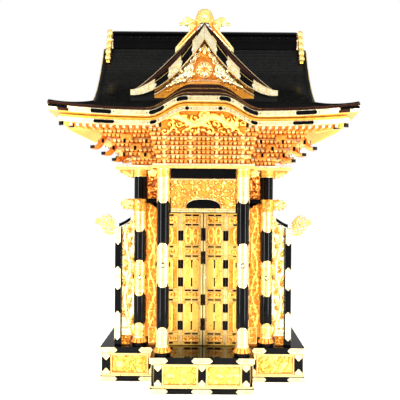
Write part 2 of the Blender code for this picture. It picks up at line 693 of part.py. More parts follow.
def make_front_gable(roof, gold, black):
    places = both_sides(gable_places())
    top = [(x, gable_top(x)) for x in places]
    under = [(x, board_top(x) - SOFFIT_DROP) for x in reversed(places)]
    floor = [(x, GABLE_FLOOR) for x in reversed(places)]
    wall_y = GABLE_FRONT + GABLE_OVERHANG
    stages = ((GABLE_FRONT, under), (wall_y, under), (wall_y, floor), (-RIDGE_HALF_D - 0.001, floor))
    rings = [[(x, y, z) for x, z in top + lower] for y, lower in stages]
    gable = loft("gable_roof", rings, black)
    raised = bpy.data.objects.new("main_roof_cutter", roof.data.copy())
    raised.location.z = GAP * 2
    bpy.context.scene.collection.objects.link(raised)
    subtract(gable, raised)
    upper = [(BOARD_HALF_W * t, board_top(BOARD_HALF_W * t)) for t in BOARD_STEPS]
    lower = [(x, z - w) for (x, z), w in zip(upper, BOARD_WIDTHS)]
    upper[0] = (GAP, upper[0][1])
    lower[0] = (GAP, lower[0][1])
    lobe = [(BOARD_HALF_W + 0.004, upper[-1][1] - 0.010)]
    for side, word in ((-1, "left"), (1, "right")):
        outline = mirrored(upper + lobe + lower[::-1], side)
        prism("gable_board_" + word, outline, "Y", GABLE_FRONT - BOARD_T, GABLE_FRONT - GAP, gold)
    wall_places = both_sides([x for x in gable_places() if x < BULGE_END])
    crown = [(x, board_top(x) - 0.0215) for x in wall_places]
    foot = [(x, roof_top(x, wall_y, False) + 0.012) for x in reversed(wall_places)]
    prism("gable_wall", crown + foot, "Y", wall_y - 0.015, wall_y - GAP, gold)


def make_ridge(gold, black):
    foot = ROOF_FLAT_Z + GAP * 2
    d = RIDGE_HALF_D
    right = [(d, foot), (d, RIDGE_TOP - 0.018), (d + 0.006, RIDGE_TOP - 0.014), (d + 0.006, RIDGE_TOP - 0.006),
             (d - 0.006, RIDGE_TOP)]
    outline = right + [(-y, z) for y, z in reversed(right)]
    prism("main_ridge", outline, "X", -RIDGE_HALF_W, RIDGE_HALF_W, black)
    bend, next_bend = ((y, roof_curve(EAVE_HALF_D - y) + GAP * 2) for y in SLOPE_BENDS)
    part = (RIDGE_FOOT_Y - bend[0]) / (next_bend[0] - bend[0])
    toe = (RIDGE_FOOT_Y, bend[1] + part * (next_bend[1] - bend[1]))
    right = [(RIDGE_HALF_D + 0.0005, foot), bend, toe]
    for centre, radius, start, end in (((0.078, 1.352), 0.012, -60, 110), ((0.068, 1.380), 0.014, -50, 110),
                                       ((0.053, 1.410), 0.014, -50, 110), ((0.037, 1.441), 0.015, -50, 110),
                                       ((0.018, 1.472), 0.017, -20, 90)):
        right += arc(centre, radius, start, end, 3)
    outline = right + [(-y, z) for y, z in reversed(right)]
    for side, word in ((-1, "left"), (1, "right")):
        prism("ridge_end_" + word, outline, "X", *span(side, RIDGE_HALF_W + GAP, RIDGE_END_X), gold)


def make_gable_ornament(gold):
    """Ornament astride the front gable's peak: a boss, two side scrolls and two legs."""
    places = [x for x in gable_places() if x < 0.12]
    foot = [(x, gable_top(x) + GAP * 3) for x in places]
    half = foot + [(0.112, 1.352)]
    half += [(0.085, 1.396), (0.058, 1.421)]
    half += arc((0.068, 1.448), 0.019, -60, 170, 6)
    half += [(0.040, 1.452)]
    half += arc((0.012, ORNAMENT_TOP - 0.026), 0.026, 0, 90, 3)
    outline = half + [(-x, z) for x, z in reversed(half[1:])]
    prism("gable_ornament", outline, "Y", GABLE_FRONT - 0.008, GABLE_FRONT + 0.022, gold)


def make_porch_carving(gold):
    places = both_sides([0.0, BULGE_FLAT, 0.0925, 0.115, 0.1375, 0.160])
    bottom = LEDGE_TOP + TIER_COUNT * TIER_H + GAP * 2
    crown = [(x, bottom + edge_rise(x, -0.42) - GAP * 2) for x in places]
    foot = [(x, CARVING_FOOT + 0.006 * math.cos(x * 110)) for x in both_sides([0.0, 0.028, 0.057, 0.085, 0.114, 0.143])]
    prism("porch_carving", crown + foot[::-1], "Y", CARVING_FRONT, CARVING_BACK, gold)


def make_ledge(gold):
    half = [(PORCH_LEDGE_HALF_W, PORCH_LEDGE_FRONT), (PORCH_LEDGE_HALF_W, LEDGE_FRONT),
            (LEDGE_HALF_W, LEDGE_FRONT), (LEDGE_HALF_W, LEDGE_BACK)]
    outline = half + [(-x, y) for x, y in reversed(half)]
    prism("ledge", outline, "Z", PILLAR_TOP + GAP * 2, LEDGE_TOP, gold)


def main():
    clear_scene()
    black = make_material("black_lacquer", (0.008, 0.008, 0.010), 0.12, 0.0)
    gold = make_material("gold_leaf", (0.95, 0.66, 0.24), 0.28, 1.0)
    make_base(gold, black)
    for side, word in ((-1, "left"), (1, "right")):
        make_pillar("pillar_porch_" + word, side * PORCH_X, PORCH_Y, PORCH_BOSS_Z, black)
        make_pillar("pillar_outer_" + word, side * OUTER_X, WALL_Y, WALL_BOSS_Z, black)
        make_pillar("pillar_rear_" + word, side * OUTER_X, REAR_Y, WALL_BOSS_Z, black)
    make_walls(gold, black)
    make_doors(gold)
    make_beams(gold, black)
    make_wings(gold, black)
    make_ledge(gold)
    for level in range(TIER_COUNT):
        make_tier("bracket_tier_%d" % (level + 1), level, gold)
    make_eaves(gold)
    make_porch_carving(gold)
    roof = make_roof(black)
    make_side_boards(gold)
    make_front_gable(roof, gold, black)
    make_ridge(gold, black)
    make_gable_ornament(gold)


main()
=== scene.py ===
"""Looks of the miniature shrine pavilion: gold leaf, black lacquer, chased plates and carved relief.

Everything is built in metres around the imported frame: +Z up, the front towards -Y.
A piece is gathered from small meshes by the Piece class, laid on flat faces by the Plane class, and
carved by height functions that take two arrays of places and give back a height from 0 to 1.
"""
import math

import bpy
import numpy as np
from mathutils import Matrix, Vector


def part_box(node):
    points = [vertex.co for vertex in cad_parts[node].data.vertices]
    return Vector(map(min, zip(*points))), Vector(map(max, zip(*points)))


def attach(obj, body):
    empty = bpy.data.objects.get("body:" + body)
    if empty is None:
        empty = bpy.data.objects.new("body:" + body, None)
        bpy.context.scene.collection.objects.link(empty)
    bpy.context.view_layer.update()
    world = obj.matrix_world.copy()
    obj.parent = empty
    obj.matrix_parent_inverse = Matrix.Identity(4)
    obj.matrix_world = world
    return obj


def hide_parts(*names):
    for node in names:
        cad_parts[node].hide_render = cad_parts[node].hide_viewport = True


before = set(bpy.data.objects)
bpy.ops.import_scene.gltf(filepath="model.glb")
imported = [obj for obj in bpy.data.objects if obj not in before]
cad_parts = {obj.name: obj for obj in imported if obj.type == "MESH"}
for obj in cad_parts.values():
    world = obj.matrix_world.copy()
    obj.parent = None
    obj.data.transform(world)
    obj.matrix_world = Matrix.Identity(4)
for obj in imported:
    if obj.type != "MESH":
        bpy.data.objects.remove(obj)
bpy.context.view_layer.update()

SHRINE = "shrine"
SIDES = ((-1, "left"), (1, "right"))
PLATE_THICK = 0.0012
SHINGLE = 0.016
COURSE = 0.0105


# Materials

PATCH_SCALE = 55.0
PATCH_SHARE = 0.35
# Share of the gold's colour taken from the tint attribute, which is painted shade and painted highlight.
PAINTED_LIGHT_SHARE = 0.75
CLOUD_SCALE = 14.0


def new_material(name, color, roughness, metallic):
    made = bpy.data.materials.new(name)
    made.use_nodes = True
    shader = made.node_tree.nodes["Principled BSDF"]
    shader.inputs["Base Color"].default_value = (*color, 1.0)
    shader.inputs["Roughness"].default_value = roughness
    shader.inputs["Metallic"].default_value = metallic
    return made, made.node_tree, shader


def add_node(tree, kind, **inputs):
    node = tree.nodes.new(kind)
    for key, value in inputs.items():
        node.inputs[key.replace("_", " ")].default_value = value
    return node


def ramp(tree, stops):
    node = tree.nodes.new("ShaderNodeValToRGB")
    elements = node.color_ramp.elements
    while len(elements) < len(stops):
        elements.new(0.5)
    for element, (place, color) in zip(elements, stops):
        element.position = place
        element.color = (*color, 1.0)
    return node


def noise(tree, scale, detail):
    """Noise in the object's own coordinates, which are the frame's metres."""
    place = tree.nodes.new("ShaderNodeTexCoord")
    node = add_node(tree, "ShaderNodeTexNoise", Scale=scale, Detail=detail)
    tree.links.new(place.outputs["Object"], node.inputs["Vector"])
    return node


def vary_roughness(tree, shader, source, low, high):
    spread = tree.nodes.new("ShaderNodeMapRange")
    spread.inputs["From Min"].default_value = 0.3
    spread.inputs["From Max"].default_value = 0.7
    spread.inputs["To Min"].default_value = low
    spread.inputs["To Max"].default_value = high
    tree.links.new(source.outputs["Fac"], spread.inputs["Value"])
    tree.links.new(spread.outputs["Result"], shader.inputs["Roughness"])


def add_bump(tree, shader, source, distance):
    bump = add_node(tree, "ShaderNodeBump", Strength=0.5, Distance=distance)
    tree.links.new(source.outputs["Fac"], bump.inputs["Height"])
    tree.links.new(bump.outputs["Normal"], shader.inputs["Normal"])


def gold_material(name, stops, low, high, grain, even=None, metallic=0.72):
    """Gold leaf: its colour follows the tint attribute kept on the mesh, mostly from the depth of the
    carving: painted shade in hollows, gaps and undersides, painted highlight on tops.
    """
    made, tree, shader = new_material(name, (1.0, 0.7, 0.3), 0.3, metallic)
    patches = noise(tree, PATCH_SCALE, 4.0)
    spread = tree.nodes.new("ShaderNodeMath")
    spread.operation = "MULTIPLY_ADD"
    spread.inputs[1].default_value = PATCH_SHARE
    spread.inputs[2].default_value = 0.0 if even is None else even
    tree.links.new(patches.outputs["Fac"], spread.inputs[0])
    mixed = spread
    if even is None:
        # The tint attribute: painted shade and painted highlight, per point.
        depth = tree.nodes.new("ShaderNodeAttribute")
        depth.attribute_name = "tint"
        mixed = tree.nodes.new("ShaderNodeMath")
        mixed.operation = "MULTIPLY_ADD"
        mixed.inputs[1].default_value = PAINTED_LIGHT_SHARE
        tree.links.new(depth.outputs["Fac"], mixed.inputs[0])
        tree.links.new(spread.outputs["Value"], mixed.inputs[2])
    colors = ramp(tree, stops)
    tree.links.new(mixed.outputs["Value"], colors.inputs["Fac"])
    tree.links.new(colors.outputs["Color"], shader.inputs["Base Color"])
    vary_roughness(tree, shader, patches, low, high)
    add_bump(tree, shader, noise(tree, grain, 5.0), 0.0006)
    return made


def lacquer_material(name, color, low, high, grain, distance, gloss):
    made, tree, shader = new_material(name, color, low, 0.0)
    shader.inputs["Specular IOR Level"].default_value = gloss
    clouds = noise(tree, CLOUD_SCALE, 3.0)
    darker = tuple(0.45 * value for value in color)
    colors = ramp(tree, ((0.35, darker), (0.70, color)))
    tree.links.new(clouds.outputs["Fac"], colors.inputs["Fac"])
    tree.links.new(colors.outputs["Color"], shader.inputs["Base Color"])
    vary_roughness(tree, shader, clouds, low, high)
    add_bump(tree, shader, noise(tree, grain, 2.0), distance)
    return made


def shingle_material():
    """Black lacquered shingles: small plates whose tone varies at random, with paler joints painted as
    glints along the shingles' edges.
    """
    made = lacquer_material("roof_lacquer", (0.004, 0.004, 0.004), 0.09, 0.20, 420.0, 0.0003, 0.10)
    tree = made.node_tree
    place = tree.nodes.new("ShaderNodeTexCoord")
    plates = tree.nodes.new("ShaderNodeTexBrick")
    # The paler mortar colour paints glints along the shingles' edges; the two brick colours vary the tone
    # at random.
    for name, value in (("Scale", 1.0), ("Brick Width", SHINGLE), ("Row Height", COURSE),
                        ("Mortar Size", 0.0006), ("Mortar Smooth", 0.3),
                        ("Color1", (0.0015, 0.0015, 0.0015, 1)), ("Color2", (0.0055, 0.0055, 0.0050, 1)),
                        ("Mortar", (0.016, 0.016, 0.014, 1))):
        plates.inputs[name].default_value = value
    tree.links.new(place.outputs["Object"], plates.inputs["Vector"])
    tree.links.new(plates.outputs["Color"], tree.nodes["Principled BSDF"].inputs["Base Color"])
    return made


# Colour ramps read by the tint: the low stops are painted shade, dark orange-brown for hollows, gaps and
# undersides; the high stops are painted highlight, cream.
LEAF_STOPS = ((0.0, (0.30, 0.085, 0.008)), (0.16, (0.74, 0.25, 0.020)), (0.38, (0.90, 0.42, 0.045)),
              (0.66, (0.99, 0.65, 0.130)), (0.97, (1.00, 0.82, 0.36)))
SHADED_GOLD_STOPS = ((0.04, (0.20, 0.035, 0.003)), (0.20, (0.44, 0.085, 0.006)), (0.42, (0.84, 0.27, 0.028)),
               (0.70, (0.98, 0.54, 0.12)), (0.92, (1.00, 0.82, 0.42)))
PLATE_STOPS = ((0.0, (0.30, 0.10, 0.012)), (0.20, (0.72, 0.35, 0.05)), (0.45, (0.95, 0.60, 0.16)),
               (0.72, (1.00, 0.78, 0.36)), (0.97, (1.00, 0.90, 0.60)))
GOLD = gold_material("gold_leaf", LEAF_STOPS, 0.26, 0.42, 700.0)
# The second gold leaf is the same leaf on the same gold_leaf slot, made darker and more orange: painted
# shade for brackets, carvings and parts in recesses and grooves.
SHADED_GOLD = gold_material("shaded_gold_leaf", SHADED_GOLD_STOPS, 0.24, 0.40, 700.0)
SMOOTH_GOLD = gold_material("smooth_gold_leaf", LEAF_STOPS, 0.22, 0.34, 900.0, 0.55)
PLATE = gold_material("gilded_plate", PLATE_STOPS, 0.22, 0.34, 1100.0, None, 0.9)
BLACK = lacquer_material("black_lacquer", (0.002, 0.002, 0.0023), 0.04, 0.08, 260.0, 0.0001, 0.11)
BROWN = lacquer_material("brown_lacquer", (0.046, 0.012, 0.005), 0.10, 0.20, 300.0, 0.0002, 0.30)
ROOF = shingle_material()


# Meshes

class Piece:
    """One visible piece, gathered from many small meshes that share a material and a body."""

    def __init__(self, name, material, slot, body=SHRINE):
        self.name = name
        self.material = material
        self.slot = slot
        self.body = body
        self.points = []
        self.faces = []
        self.tints = []
        self.count = 0

    def add(self, points, faces, tint=1.0):
        points = np.asarray(points, dtype=float).reshape(-1, 3)
        self.points.append(points)
        self.faces.extend([tuple(int(i) + self.count for i in face) for face in faces])
        self.tints.append(np.broadcast_to(np.asarray(tint, dtype=float), (len(points),)))
        self.count += len(points)

    def done(self, *replaced, angle=40.0):
        mesh = bpy.data.meshes.new(self.name)
        mesh.from_pydata(np.concatenate(self.points).tolist(), [], self.faces)
        # The tint attribute feeds the gold materials: painted shade and painted highlight per point.
        tint = mesh.attributes.new("tint", "FLOAT", "POINT")
        tint.data.foreach_set("value", np.concatenate(self.tints).astype(np.float32))
        mesh.materials.append(self.material)
        mesh.validate()
        mesh.shade_smooth()
        mesh.set_sharp_from_angle(angle=math.radians(angle))
        made = bpy.data.objects.new(self.name, mesh)
        bpy.context.scene.collection.objects.link(made)
        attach(made, self.body)
        if replaced:
            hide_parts(*replaced)
        return made


class Section:
    """The pieces of one part of the shrine, one for each finish that it shows."""

    finishes = {"gold": (GOLD, "gold_leaf"), "shaded": (SHADED_GOLD, "gold_leaf"),
                "plate": (PLATE, "brass_fittings"), "black": (BLACK, "black_lacquer"),
                "brown": (BROWN, "roof_black"), "roof": (ROOF, "roof_black")}

    def __init__(self, name, body=SHRINE):
        self.name = name
        self.body = body
        self.pieces = {}

    def of(self, finish):
        if finish not in self.pieces:
            material, slot = self.finishes[finish]
            self.pieces[finish] = Piece("%s_%s" % (self.name, finish), material, slot, self.body)
        return self.pieces[finish]

    def done(self, *replaced, angle=40.0):
        for i, piece in enumerate(self.pieces.values()):
            piece.done(*(replaced if i == 0 else ()), angle=angle)


class Plane:
    """A flat face: its origin, the direction to its right and its outward side, with Z up."""

    def __init__(self, origin, right=(1, 0, 0), up=(0, 0, 1)):
        self.origin = np.array(origin, dtype=float)
        self.right = np.array(right, dtype=float)
        self.up = np.array(up, dtype=float)
        self.out = np.cross(self.right, self.up)

    def at(self, u, v, h):
        u, v, h = np.broadcast_arrays(np.asarray(u, float), np.asarray(v, float), np.asarray(h, float))
        parts = (u.ravel()[:, None] * self.right, v.ravel()[:, None] * self.up,
                 h.ravel()[:, None] * self.out)
        return self.origin + parts[0] + parts[1] + parts[2]

    def turned(self):
        """The same face with its right side up: u runs upwards and v to the left."""
        return Plane(self.origin, self.up, -self.right)


def front(y):
    return Plane((0, y, 0))


def back(y):
    return Plane((0, y, 0), (-1, 0, 0))


def flank(side, x):
    """The outward face at a distance x to the left (-1) or right (1)."""
    return Plane((side * x, 0, 0), (0, side, 0))


def standing(spot, right):
    """The upright plane through a spot of the plan, with its right side along a direction of the plan."""
    return Plane((spot[0], spot[1], 0.0), (right[0], right[1], 0.0))


LEVEL = Plane((0, 0, 0), (1, 0, 0), (0, 1, 0))


def blend(pair, part):
    """From the first value of a pair to the second."""
    return pair[0] + (pair[1] - pair[0]) * part


def swelling(part):
    """Height of a round form at a part of its radius: 1 in the middle, 0 at the rim."""
    return np.sqrt(np.clip(1 - part ** 2, 0, 1))


def facing(side, angle):
    """An angle as drawn for the right side, mirrored for the left."""
    return angle if side > 0 else math.pi - angle


def both_ways(places):
    """Places from 0 outwards, repeated to the left."""
    return np.concatenate((-places[:0:-1], places))


def ring_faces(count, rings):
    """Quads between stacked closed rings of equally many points."""
    faces = []
    for k in range(rings - 1):
        for i in range(count):
            j = (i + 1) % count
            faces.append((k * count + i, k * count + j, (k + 1) * count + j, (k + 1) * count + i))
    return faces


def stack(piece, rings, tint):
    """Closed rings of equally many points, joined one after another and capped at both ends."""
    count, last = len(rings[0]), len(rings) - 1
    faces = ring_faces(count, last + 1)
    faces.append(tuple(reversed(range(count))))
    faces.append(tuple(range(count * last, count * (last + 1))))
    piece.add(np.concatenate(rings), faces, tint)


def full_turn(count):
    """Angles evenly spaced, once round."""
    return np.linspace(0, 2 * math.pi, count, endpoint=False)


def oval(cu, cv, half_wide, half_tall, count):
    return [(cu + half_wide * math.cos(a), cv + half_tall * math.sin(a)) for a in full_turn(count)]


def circle(cu, cv, radius, count):
    return oval(cu, cv, radius, radius, count)


def inset(outline, distance):
    """Move an anticlockwise outline inwards."""
    points = np.asarray(outline, float)
    before = points - np.roll(points, 1, axis=0)
    after = np.roll(points, -1, axis=0) - points
    normals = []
    for edge in (before, after):
        length = np.maximum(np.hypot(edge[:, 0], edge[:, 1]), 1e-9)
        normals.append(np.stack((-edge[:, 1] / length, edge[:, 0] / length), axis=1))
    mean = normals[0] + normals[1]
    scale = np.maximum(np.sum(mean * normals[0], axis=1), 0.35)
    return points + mean * (distance / scale)[:, None]


def slab(piece, plane, outline, low, high, bevel, tint=1.0):
    """A plate with a bevelled face, from an anticlockwise outline."""
    outline = np.asarray(outline, float)
    area = np.sum(outline[:, 0] * np.roll(outline[:, 1], -1) - np.roll(outline[:, 0], -1) * outline[:, 1])
    if area < 0:
        outline = outline[::-1]
    inner = inset(outline, bevel)
    rings = [plane.at(ring[:, 0], ring[:, 1], h)
             for ring, h in ((outline, low), (outline, high - bevel), (inner, high))]
    stack(piece, rings, tint)


def rect(u0, u1, v0, v1):
    return [(u0, v0), (u1, v0), (u1, v1), (u0, v1)]


def box(piece, x_range, y_range, z_range, bevel, tint=1.0):
    """A box whose upper edges are bevelled."""
    slab(piece, LEVEL, rect(*x_range, *y_range), z_range[0], z_range[1], bevel, tint)


def grid_faces(columns, rows):
    index = np.arange(columns * rows).reshape(columns, rows)
    quads = np.stack((index[:-1, :-1], index[1:, :-1], index[1:, 1:], index[:-1, 1:]), axis=-1)
    return quads.reshape(-1, 4)


def border_loop(columns, rows):
    """Indices round the edge of a grid, anticlockwise."""
    index = np.arange(columns * rows).reshape(columns, rows)
    return list(index[:-1, 0]) + list(index[-1, :-1]) + list(index[:0:-1, -1]) + list(index[0, :0:-1])


def closed_sheet(piece, upper, lower, columns, rows, tint):
    """A closed form between two grids of points."""
    count = columns * rows
    over = grid_faces(columns, rows)
    faces = over.tolist() + (over[:, ::-1] + count).tolist()
    loop = border_loop(columns, rows)
    for i, j in zip(loop, loop[1:] + loop[:1]):
        faces.append((i, count + i, count + j, j))
    piece.add(np.concatenate((upper, lower)), faces, tint)


def widened(grid):
    """Spreads the high values of a grid to the neighbours on all four sides."""
    grown = grid.copy()
    grown[1:] = np.maximum(grown[1:], grid[:-1])
    grown[:-1] = np.maximum(grown[:-1], grid[1:])
    grown[:, 1:] = np.maximum(grown[:, 1:], grid[:, :-1])
    grown[:, :-1] = np.maximum(grown[:, :-1], grid[:, 1:])
    return grown


STEEP = 0.54


def relief(piece, plane, u0, u1, low_v, high_v, carve, base, depth, step, low, tint, line=0.35):
    """Carved relief between two edges, which are heights or functions of u, closed at its back.

    It is a grid of points a step apart that starts at base and rises by depth; its back lies at low.
    The tint lists shades from the ground to the highest places, at even steps: painted shade in the
    hollows and painted highlight on the tops; line paints shade along the edges, fully where the height
    changes by STEEP or more from one point to the next.
    """
    def edge(value, u):
        return value(u) if callable(value) else np.full_like(u, value)

    columns = max(4, int((u1 - u0) / step) + 1)
    u = np.linspace(u0, u1, columns)
    bottom = edge(low_v, u)
    top = edge(high_v, u)
    rows = max(4, int(np.max(top - bottom) / step) + 1)
    t = np.linspace(0, 1, rows)
    grid_u = np.repeat(u[:, None], rows, axis=1)
    grid_v = bottom[:, None] + (top - bottom)[:, None] * t[None, :]
    height = np.clip(carve(grid_u, grid_v), 0.0, 1.0)
    points = plane.at(grid_u, grid_v, base + depth * height)
    faces = grid_faces(columns, rows).tolist()
    loop = border_loop(columns, rows)
    skirt = plane.at(grid_u.ravel()[loop], grid_v.ravel()[loop], low)
    start = columns * rows
    count = len(loop)
    for i in range(count):
        j = (i + 1) % count
        faces.append((loop[j], loop[i], start + i, start + j))
    faces.append(tuple(reversed(range(start, start + count))))
    # Painted shade: the ground takes the first, darkest shade and every form's edges are darkened; the tops
    # take painted highlight.
    across, along = np.gradient(height)
    edge_shade = widened(np.clip(np.hypot(across, along) / STEEP, 0, 1))
    shades = (np.interp(height, np.linspace(0, 1, len(tint)), tint) - line * edge_shade).ravel()
    tints = np.concatenate((shades, np.full(count, tint[0])))
    piece.add(np.concatenate((points, skirt)), faces, tints)


def turned(piece, x, y, profile, sides=40, tint=1.0):
    """A turned form: the profile is a list of (radius, height), bottom first."""
    angles = full_turn(sides)
    rings = [np.stack((x + r * np.cos(angles), y + r * np.sin(angles), np.full(sides, z)), axis=1)
             for r, z in profile]
    stack(piece, rings, tint)


def sleeve(piece, x, y, radius, z0, z1, lobe0, lobe1, thick, carve, tint):
    """A plate wrapped round a pillar; its ends have four round lobes, or are plain where the lobe is 0."""
    sides = 48
    rows = max(6, int((z1 - z0) / 0.0045))
    angles = full_turn(sides)
    off = np.abs((angles + math.pi / 4) % (math.pi / 2) - math.pi / 4)
    dip = 1 - swelling(off / 0.74)
    t = np.linspace(0, 1, rows)
    bottom = z0 + lobe0 * dip
    top = z1 - lobe1 * dip
    z = bottom[None, :] + (top - bottom)[None, :] * t[:, None]
    height = carve(np.repeat(angles[None, :] * radius, rows, 0), z)
    rim = (np.minimum(t, 1 - t) * (z1 - z0) < 0.0035)[:, None]
    height = np.where(rim, 1.0, height)
    r = radius + thick * (0.4 + 0.6 * height)
    outer = np.stack((x + r * np.cos(angles), y + r * np.sin(angles), z), axis=-1).reshape(-1, 3)
    inner_r = radius - 0.0015
    ends = [np.stack((x + inner_r * np.cos(angles), y + inner_r * np.sin(angles), end), axis=1)
            for end in (bottom, top)]
    points = np.concatenate((ends[0], outer, ends[1]))
    faces = ring_faces(sides, rows + 2)
    last = (rows + 1) * sides
    faces += [((i + 1) % sides, i, last + i, last + (i + 1) % sides) for i in range(sides)]
    # Colour follows the height: painted shade in the hollows of the carving and of the chased lattice,
    # lightest on the raised rims; the end faces take 0.3, painted shade.
    tints = np.concatenate((np.full(sides, 0.3), (tint * (0.45 + 0.55 * height)).ravel(),
                            np.full(sides, 0.3)))
    piece.add(points, faces, tints)


def tube(piece, path, radius, sides, tint=1.0):
    """A round strand along a path; the radius may change along it."""
    path = np.asarray(path, float)
    radius = np.broadcast_to(np.asarray(radius, float), (len(path),))
    tangent = np.gradient(path, axis=0)
    tangent /= np.maximum(np.linalg.norm(tangent, axis=1), 1e-9)[:, None]
    guide = np.array((0.0, 1.0, 0.0)) if abs(tangent[0][1]) < 0.9 else np.array((1.0, 0.0, 0.0))
    angles = full_turn(sides)
    rings = []
    for point, along, r in zip(path, tangent, radius):
        side_way = np.cross(along, guide)
        side_way /= max(np.linalg.norm(side_way), 1e-9)
        guide = np.cross(side_way, along)
        rings.append(point + r * (np.cos(angles)[:, None] * side_way + np.sin(angles)[:, None] * guide))
    stack(piece, rings, tint)


def scroll(piece, plane, cu, cv, r, turns, start, sense, thick, lift, tint=1.0):
    """A curl that winds inwards to a round eye."""
    t = np.linspace(0, 1, int(10 * turns) + 4)
    angle = start + sense * 2 * math.pi * turns * t
    rho = r * (1 - 0.86 * t)
    path = plane.at(cu + rho * np.cos(angle), cv + rho * np.sin(angle), lift + thick * 0.6 * t)
    tube(piece, path, thick * (1 - 0.45 * t), 5, tint)
    dome(piece, plane, cu + rho[-1] * np.cos(angle[-1]), cv + rho[-1] * np.sin(angle[-1]), thick * 1.1,
         thick * 1.2, lift, tint, 8)


def dome(piece, plane, u, v, r, h, lift, tint=1.0, sides=12):
    """A round nail head or boss."""
    angles = full_turn(sides)
    rings = []
    for part in (0.0, 0.35, 0.70, 0.92):
        ring_r = r * math.cos(part * math.pi / 2)
        ring_h = lift + h * math.sin(part * math.pi / 2)
        rings.append(plane.at(u + ring_r * np.cos(angles), v + ring_r * np.sin(angles), ring_h))
    stack(piece, rings, tint)


def rosette(piece, plane, u, v, radius, count, height, lift, tint=(0.35, 1.0)):
    """A flower of plain petals round a boss."""
    sides = count * 8
    parts = np.linspace(0, 1, 14)[1:]
    angles = full_turn(sides)
    wave = np.abs(np.cos(angles * count / 2)) ** 0.6
    rho = parts[:, None] * radius * (0.80 + 0.20 * wave[None, :])
    bow = np.sqrt(np.clip(1 - (parts[:, None] * 1.35 - 0.55) ** 2 / 0.72, 0, 1))
    petal = (0.25 + 0.75 * wave[None, :]) * bow * (parts[:, None] > 0.24)
    boss = swelling(parts[:, None] / 0.26) * 1.15
    h = np.maximum(petal, boss)
    h[-1, :] = 0.0
    rings = plane.at(u + rho * np.cos(angles)[None, :], v + rho * np.sin(angles)[None, :],
                     lift + height * h)
    faces = [tuple(reversed(face)) for face in ring_faces(sides, len(parts))]
    faces.append(tuple(range(sides)))
    last = sides * (len(parts) - 1)
    faces.append(tuple(reversed(range(last, last + sides))))
    # Colour follows the height: painted shade at the petals' roots and between them, painted highlight on
    # their crowns and the boss.
    piece.add(rings, faces, blend(tint, np.clip(h, 0, 1).ravel()))


def ring_band(piece, plane, outline, width, low, high, bevel, tint=1.0):
    """A raised moulding that runs round the inside of an outline."""
    outline = np.asarray(outline, float)
    loops = [(0.0, low), (0.0, high - bevel), (bevel, high), (width - bevel, high), (width, high - bevel),
             (width, low)]
    rings = []
    for distance, height in loops:
        ring = inset(outline, distance)
        rings.append(plane.at(ring[:, 0], ring[:, 1], height))
    count = len(outline)
    faces = ring_faces(count, len(loops))
    last = count * (len(loops) - 1)
    for i in range(count):
        j = (i + 1) % count
        faces.append((last + i, last + j, j, i))
    piece.add(np.concatenate(rings), faces, tint)


def strip(piece, plane, u, lower, upper, low, high, bevel, tint=1.0, points=(0.0, 0.0)):
    """A bar with bevelled edges between two curves over the same places; its ends may be pointed."""
    u, lower, upper = (np.asarray(values, float) for values in np.broadcast_arrays(u, lower, upper))
    order = np.argsort(u, kind="stable")
    if u[0] > u[-1]:
        points = (points[1], points[0])
    u, lower, upper = u[order], lower[order], upper[order]
    if np.ndim(tint) and order[0] != 0:
        tint = np.reshape(tint, (len(u), -1))[::-1].ravel()
    fill = np.ones_like(u)
    if points[0]:
        fill = np.minimum(fill, np.clip((u - u[0]) / points[0], 0.06, 1))
    if points[1]:
        fill = np.minimum(fill, np.clip((u[-1] - u) / points[1], 0.06, 1))
    middle = (lower + upper) / 2
    half = (upper - lower) / 2 * fill
    edge = np.minimum(bevel, half * 0.5)
    section = ((half, low), (half, high - bevel), (half - edge, high), (edge - half, high),
               (-half, high - bevel), (-half, low))
    stack(piece, np.stack([plane.at(u, middle + v, np.full_like(u, h)) for v, h in section], axis=1), tint)


EAVE_STEP = 0.008


def edge_strip(piece, plane, u0, u1, v0, v1, low, high, rise, bevel, tint=1.0, points=(0.0, 0.0)):
    """A bar that follows the rise of an eave between two places."""
    count = max(5, int((u1 - u0) / EAVE_STEP) + 1)
    u = np.linspace(u0, u1, count)
    if points[0] or points[1]:
        u = np.unique(np.concatenate((u, [u0 + points[0], u1 - points[1]])))
    lift = np.array([rise(value) for value in u])
    strip(piece, plane, u, v0 + lift, v1 + lift, low, high, bevel, tint, points)


def lobed_outline(u0, u1, v0, v1, ends):
    """Outline of a chased plate whose ends are pointed lobes with small shoulders."""
    tall = v1 - v0
    reach = 0.42 * tall
    profile = ((0.0, 1.0), (0.04, 0.90), (0.34, 0.80), (0.46, 0.74), (0.74, 0.66), (1.0, 0.50))
    half = [(reach * (1 - a), v1 - tall * (1 - b)) for a, b in profile]
    full = half + [(a, 2 * v0 + tall - b) for a, b in reversed(half[:-1])]
    right = [(u1 - a, b) for a, b in reversed(full)] if ends[1] else [(u1, v0), (u1, v1)]
    left = [(u0 + a, b) for a, b in full] if ends[0] else [(u0, v1), (u0, v0)]
    return right + left


def plate(section, plane, u0, u1, v0, v1, ends, base, studs):
    """A gilded fitting: a lobed plate with a raised rim, an engraved middle and round studs."""
    outline = lobed_outline(u0, u1, v0, v1, ends)
    piece = section.of("plate")
    slab(piece, plane, outline, base - 0.0006, base + PLATE_THICK, 0.0004, 0.80)
    tall = v1 - v0
    ring_band(piece, plane, inset(outline, tall * 0.07), tall * 0.07, base, base + PLATE_THICK * 1.6,
              0.0002, 1.0)
    wide = u1 - u0
    for k in range(studs):
        u = u0 + wide * (k + 0.5) / studs
        dome(piece, plane, u, (v0 + v1) / 2, tall * 0.13, tall * 0.09, base + PLATE_THICK * 0.8, 1.0, 10)
    if studs > 1:
        for k in range(studs - 1):
            u = u0 + wide * (k + 1.0) / studs
            for sense in (-1, 1):
                scroll(piece, plane, u + sense * tall * 0.30, (v0 + v1) / 2, tall * 0.24, 1.3,
                       math.pi / 2, sense, tall * 0.045, base + PLATE_THICK, 0.55)


# Carved relief

